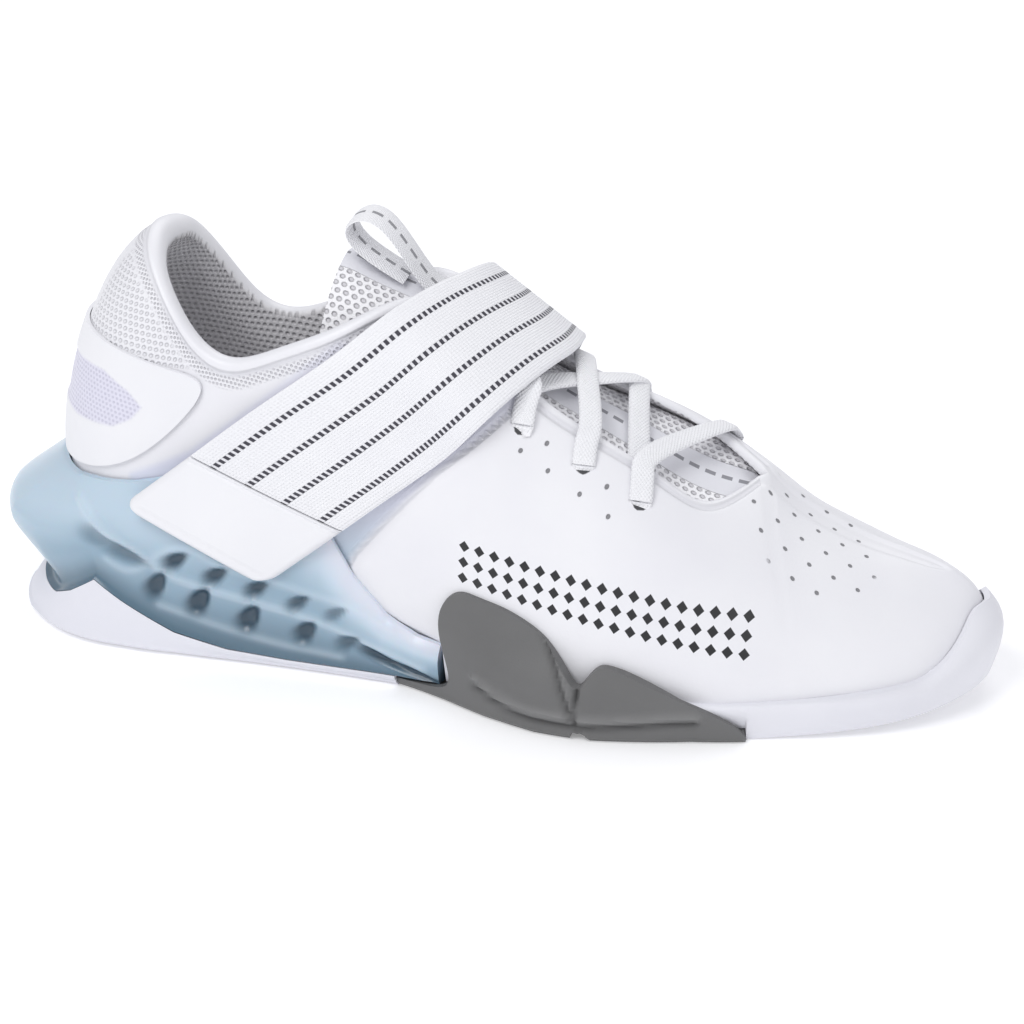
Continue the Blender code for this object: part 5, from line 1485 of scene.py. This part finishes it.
def dress_tab():
    """The plain tab at the strap's lateral end."""
    places = np.linspace(0, 1, 45)
    shares = np.linspace(0, 1, 41)
    grid, normals = fine_strap(places, shares)
    length, width, corner = 24.0, 42.0, 4.5
    along = places * length
    inset = np.where(along < corner, corner - np.sqrt(np.maximum(corner**2 - (corner - along) ** 2, 0)), 0)
    new = []
    for i in range(len(places)):
        pull = inset[i] / width
        spots = pull + shares * (1 - 2 * pull)
        new.append(np.stack([np.interp(spots, shares, grid[i, :, k]) for k in range(3)], axis=-1))
    grid = np.array(new)
    border = np.minimum(np.minimum(shares[None] * width, (1 - shares[None]) * width), along[:, None])
    rounded = 1 - 0.5 * np.clip(1 - border / 1.4, 0, 1) ** 2
    stitch = -0.35 * np.exp(-(((border - 2.6) / 0.35) ** 2))
    crease = -0.5 * np.exp(-(((along[:, None] - length + 1.2) / 0.5) ** 2)) + 0 * border
    rise = TAB_THICK * rounded + (stitch + crease) * MM
    high = grid + normals * rise[..., None]
    paint = plain_paint(
        "shoe_tab", "tab_synthetic", (0.85, 0.85, 0.87), (0.79, 0.79, 0.82), 0.4, 900.0, 0.00006,
        Coat_Weight=0.1,
    )
    obj = shell("strap_tab_dressed", grid, high, paint.material, {"border": border * MM}, 60)
    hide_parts("strap_tab")


def dress_tongue():
    """The padded mesh tongue with its middle tape."""
    rows = tongue_rows()
    count = len(rows)
    places = np.linspace(0, count - 1, 150)
    grid = Spline(range(count), rows.reshape(count, -1))(places).reshape(len(places), -1, 3)
    shares = np.linspace(-1, 1, 73)
    across = Spline(TONGUE_SHARES, np.moveaxis(grid, 1, 0).reshape(len(TONGUE_SHARES), -1))
    fine = np.moveaxis(across(shares).reshape(len(shares), len(places), 3), 0, 1)
    normals = unit(np.cross(np.gradient(fine, axis=1), np.gradient(fine, axis=0)))
    from_top = (len(places) - 1 - np.arange(len(places)))[:, None] * 1.3
    border = np.minimum((1 - np.abs(shares))[None] * 26, from_top)
    thick = TONGUE_THICK * (0.35 + 0.65 * np.sqrt(np.clip(border / 4.0, 0, 1)))
    low = fine - normals * thick[..., None]
    run = np.cumsum(np.linalg.norm(np.gradient(fine[:, 36], axis=0), axis=-1))
    side = np.cumsum(np.linalg.norm(np.gradient(fine, axis=1), axis=-1), axis=1)
    side = side - side[:, 36:37]
    flat = cloth(run[:, None], side)
    paint = tongue_paint()
    obj = shell("tongue_dressed", low, fine, paint.material, {"flat": flat}, 60)
    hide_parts("tongue")


def ribbon(name, path, side, width, thick, paint, samples=9):
    """A flat woven band along a path, rounded at its edges."""
    shares = np.linspace(-1, 1, samples)
    lift = unit(np.cross(np.gradient(path, axis=0), side))
    lift = np.where(lift[:, 2:3] < -0.2, -lift, lift) if name.startswith("lace") else lift
    crown = np.sqrt(np.clip(1 - shares**4, 0.05, 1))
    middle = path[:, None] + side[:, None] * (shares * width / 2)[None, :, None]
    high = middle + lift[:, None] * (crown * thick / 2)[None, :, None]
    low = middle - lift[:, None] * (crown * thick / 2)[None, :, None]
    run = np.cumsum(np.linalg.norm(np.gradient(path, axis=0), axis=-1))
    across = shares * width / 2
    flat = cloth(run[:, None], across[None])
    return shell(name, low, high, paint.material, {"flat": flat}, 60)


def dress_loop():
    """The tape doubled over the tongue's top."""
    path = Spline(range(len(LOOP)), LOOP)(np.linspace(0, len(LOOP) - 1, 90))
    points = np.stack([
        LAST_START + path[:, 0] * LAST_LENGTH, 0 * path[:, 0] + 0.012 * BALL_WIDTH, path[:, 1] * INSTEP_HEIGHT
    ], axis=1)
    side = np.tile([0.0, 1.0, 0.0], (len(points), 1))
    lift = unit(np.cross(side, np.gradient(points, axis=0)))
    points = points + lift * TAPE_THICK / 2
    paint = ribbon_paint("shoe_loop_tape", "loop_tape", dashes=True)
    obj = ribbon("pull_loop_dressed", points, side, TAPE_WIDTH, TAPE_THICK, paint)
    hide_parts("pull_loop")


def lace_path(knots, count=60):
    knots = np.array(knots)
    gaps = np.concatenate([[0], np.cumsum(np.linalg.norm(np.diff(knots, axis=0), axis=1) ** 0.6)])
    return Spline(gaps, knots)(np.linspace(0, gaps[-1], count))


def dress_laces():
    """The runs of the flat lace, each from eyelet to eyelet."""
    paint = ribbon_paint("shoe_lace", "lace_woven")
    rest, hop = 5 * GAP, 8 * GAP

    def over(number, hand):
        return [
            eyelet(number, hand, -1.5 * MM), eyelet(number, hand, rest * 0.6),
            eyelet(number, hand, rest + 0.6 * MM, 0.92), eyelet(number, hand, hop, 0.99),
        ]

    def under(number, hand):
        return [eyelet(number, hand, -4.2 * MM, 0.90), eyelet(number, hand, -2.9 * MM, 0.985)]

    runs = [
        (over(0, -1), over(0, 1), 1.6),
        (over(1, -1), over(2, 1), 4.2),
        (under(0, -1), over(1, 1), 1.2),
        (over(1, 1), under(2, -1), 2.0),
    ]
    pieces = []
    for count, (first, last, lift) in enumerate(runs):
        middle = (first[-1] + last[-1]) / 2 + np.array([0, 0, lift * MM])
        path = lace_path([*first, middle, *last[::-1]])
        along = unit(np.gradient(path, axis=0))
        up = unit(np.stack([0 * path[:, 1] + 0.35, path[:, 1] / (32 * MM), 0 * path[:, 1] + 1.0], axis=1))
        side = unit(np.cross(along, up))
        pieces.append(ribbon(f"lace_{count}", path, side, 1.12 * LACE_WIDTH, 1.2 * LACE_THICK, paint))
    near = [*over(2, -1), eyelet(2, -1, 3.2 * MM, 1.0) + np.array([-3.0, 4.5, 0.5]) * MM]
    path = lace_path(near, 30)
    up = np.tile(unit(np.array([0.2, -0.8, 0.8])), (len(path), 1))
    side = unit(np.cross(unit(np.gradient(path, axis=0)), up))
    pieces.append(ribbon("lace_4", path, side, 1.12 * LACE_WIDTH, 1.2 * LACE_THICK, paint))
    for piece in pieces:
        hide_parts("laces")


def add_light(name, place, aim, size, power):
    data = bpy.data.lights.new(name, "AREA")
    data.energy = power
    data.size = size
    obj = bpy.data.objects.new(name, data)
    obj.location = place
    obj.rotation_euler = (Vector(aim) - Vector(place)).to_track_quat("-Z", "Y").to_euler()
    bpy.context.scene.collection.objects.link(obj)


def build_studio():
    """The pale floor and the soft light."""
    mesh = bpy.data.meshes.new("floor")
    corners = [(x * FLOOR_HALF, y * FLOOR_HALF, 0) for x, y in ((-1, -1), (1, -1), (1, 1), (-1, 1))]
    mesh.from_pydata(corners, [], [(0, 1, 2, 3)])
    floor = bpy.data.objects.new("floor", mesh)
    bpy.context.scene.collection.objects.link(floor)
    paint = Paint("studio_floor", (0.92, 0.92, 0.93), 0.7, None)
    paint.colour(paint.mix(paint.noise(3.0), (0.90, 0.90, 0.91), (0.93, 0.93, 0.94)))
    paint.shader.inputs["Emission Color"].default_value = (1, 1, 1, 1)
    paint.shader.inputs["Emission Strength"].default_value = 0.22
    mesh.materials.append(paint.material)
    world = bpy.data.worlds.new("studio")
    bpy.context.scene.world = world
    world.use_nodes = True
    world.node_tree.nodes["Background"].inputs["Color"].default_value = (0.95, 0.96, 1.0, 1)
    world.node_tree.nodes["Background"].inputs["Strength"].default_value = 0.58
    add_light("key", (-0.25, -0.9, 1.3), (0.13, 0, 0.04), 0.8, 10.5)
    add_light("fill", (1.2, -0.6, 0.8), (0.15, 0, 0.04), 0.9, 2.0)
    add_light("back", (0.1, 1.1, 1.1), (0.13, 0, 0.05), 0.9, 4.5)
    scene = bpy.context.scene
    scene.view_settings.view_transform = "Standard"
    scene.view_settings.exposure = 0.0


def build_camera():
    """The camera at the photograph's angle."""
    azimuth, elevation = math.radians(CAMERA_AZIMUTH), math.radians(CAMERA_ELEVATION)
    back = Vector((
        math.sin(azimuth) * math.cos(elevation),
        -math.cos(azimuth) * math.cos(elevation),
        math.sin(elevation),
    ))
    right = Vector((math.cos(azimuth), math.sin(azimuth), 0))
    up = back.cross(right)
    data = bpy.data.cameras.new("camera")
    data.lens = CAMERA_LENS
    data.sensor_width = SENSOR_WIDTH
    data.clip_start, data.clip_end = 0.05, 50
    camera = bpy.data.objects.new("camera", data)
    aim = Vector(CAMERA_AIM) + right * CAMERA_RIGHT - up * CAMERA_DOWN
    camera.location = aim + back * CAMERA_DISTANCE
    camera.rotation_euler = (-back).to_track_quat("-Z", "Y").to_euler()
    bpy.context.scene.collection.objects.link(camera)
    bpy.context.scene.camera = camera


build_camera()
build_studio()
dress_upper()
dress_midsole()
dress_heel_plate()
dress_forefoot()
dress_wrap()
dress_insole()
dress_counter()
dress_strap()
dress_tab()
dress_tongue()
dress_loop()
dress_laces()
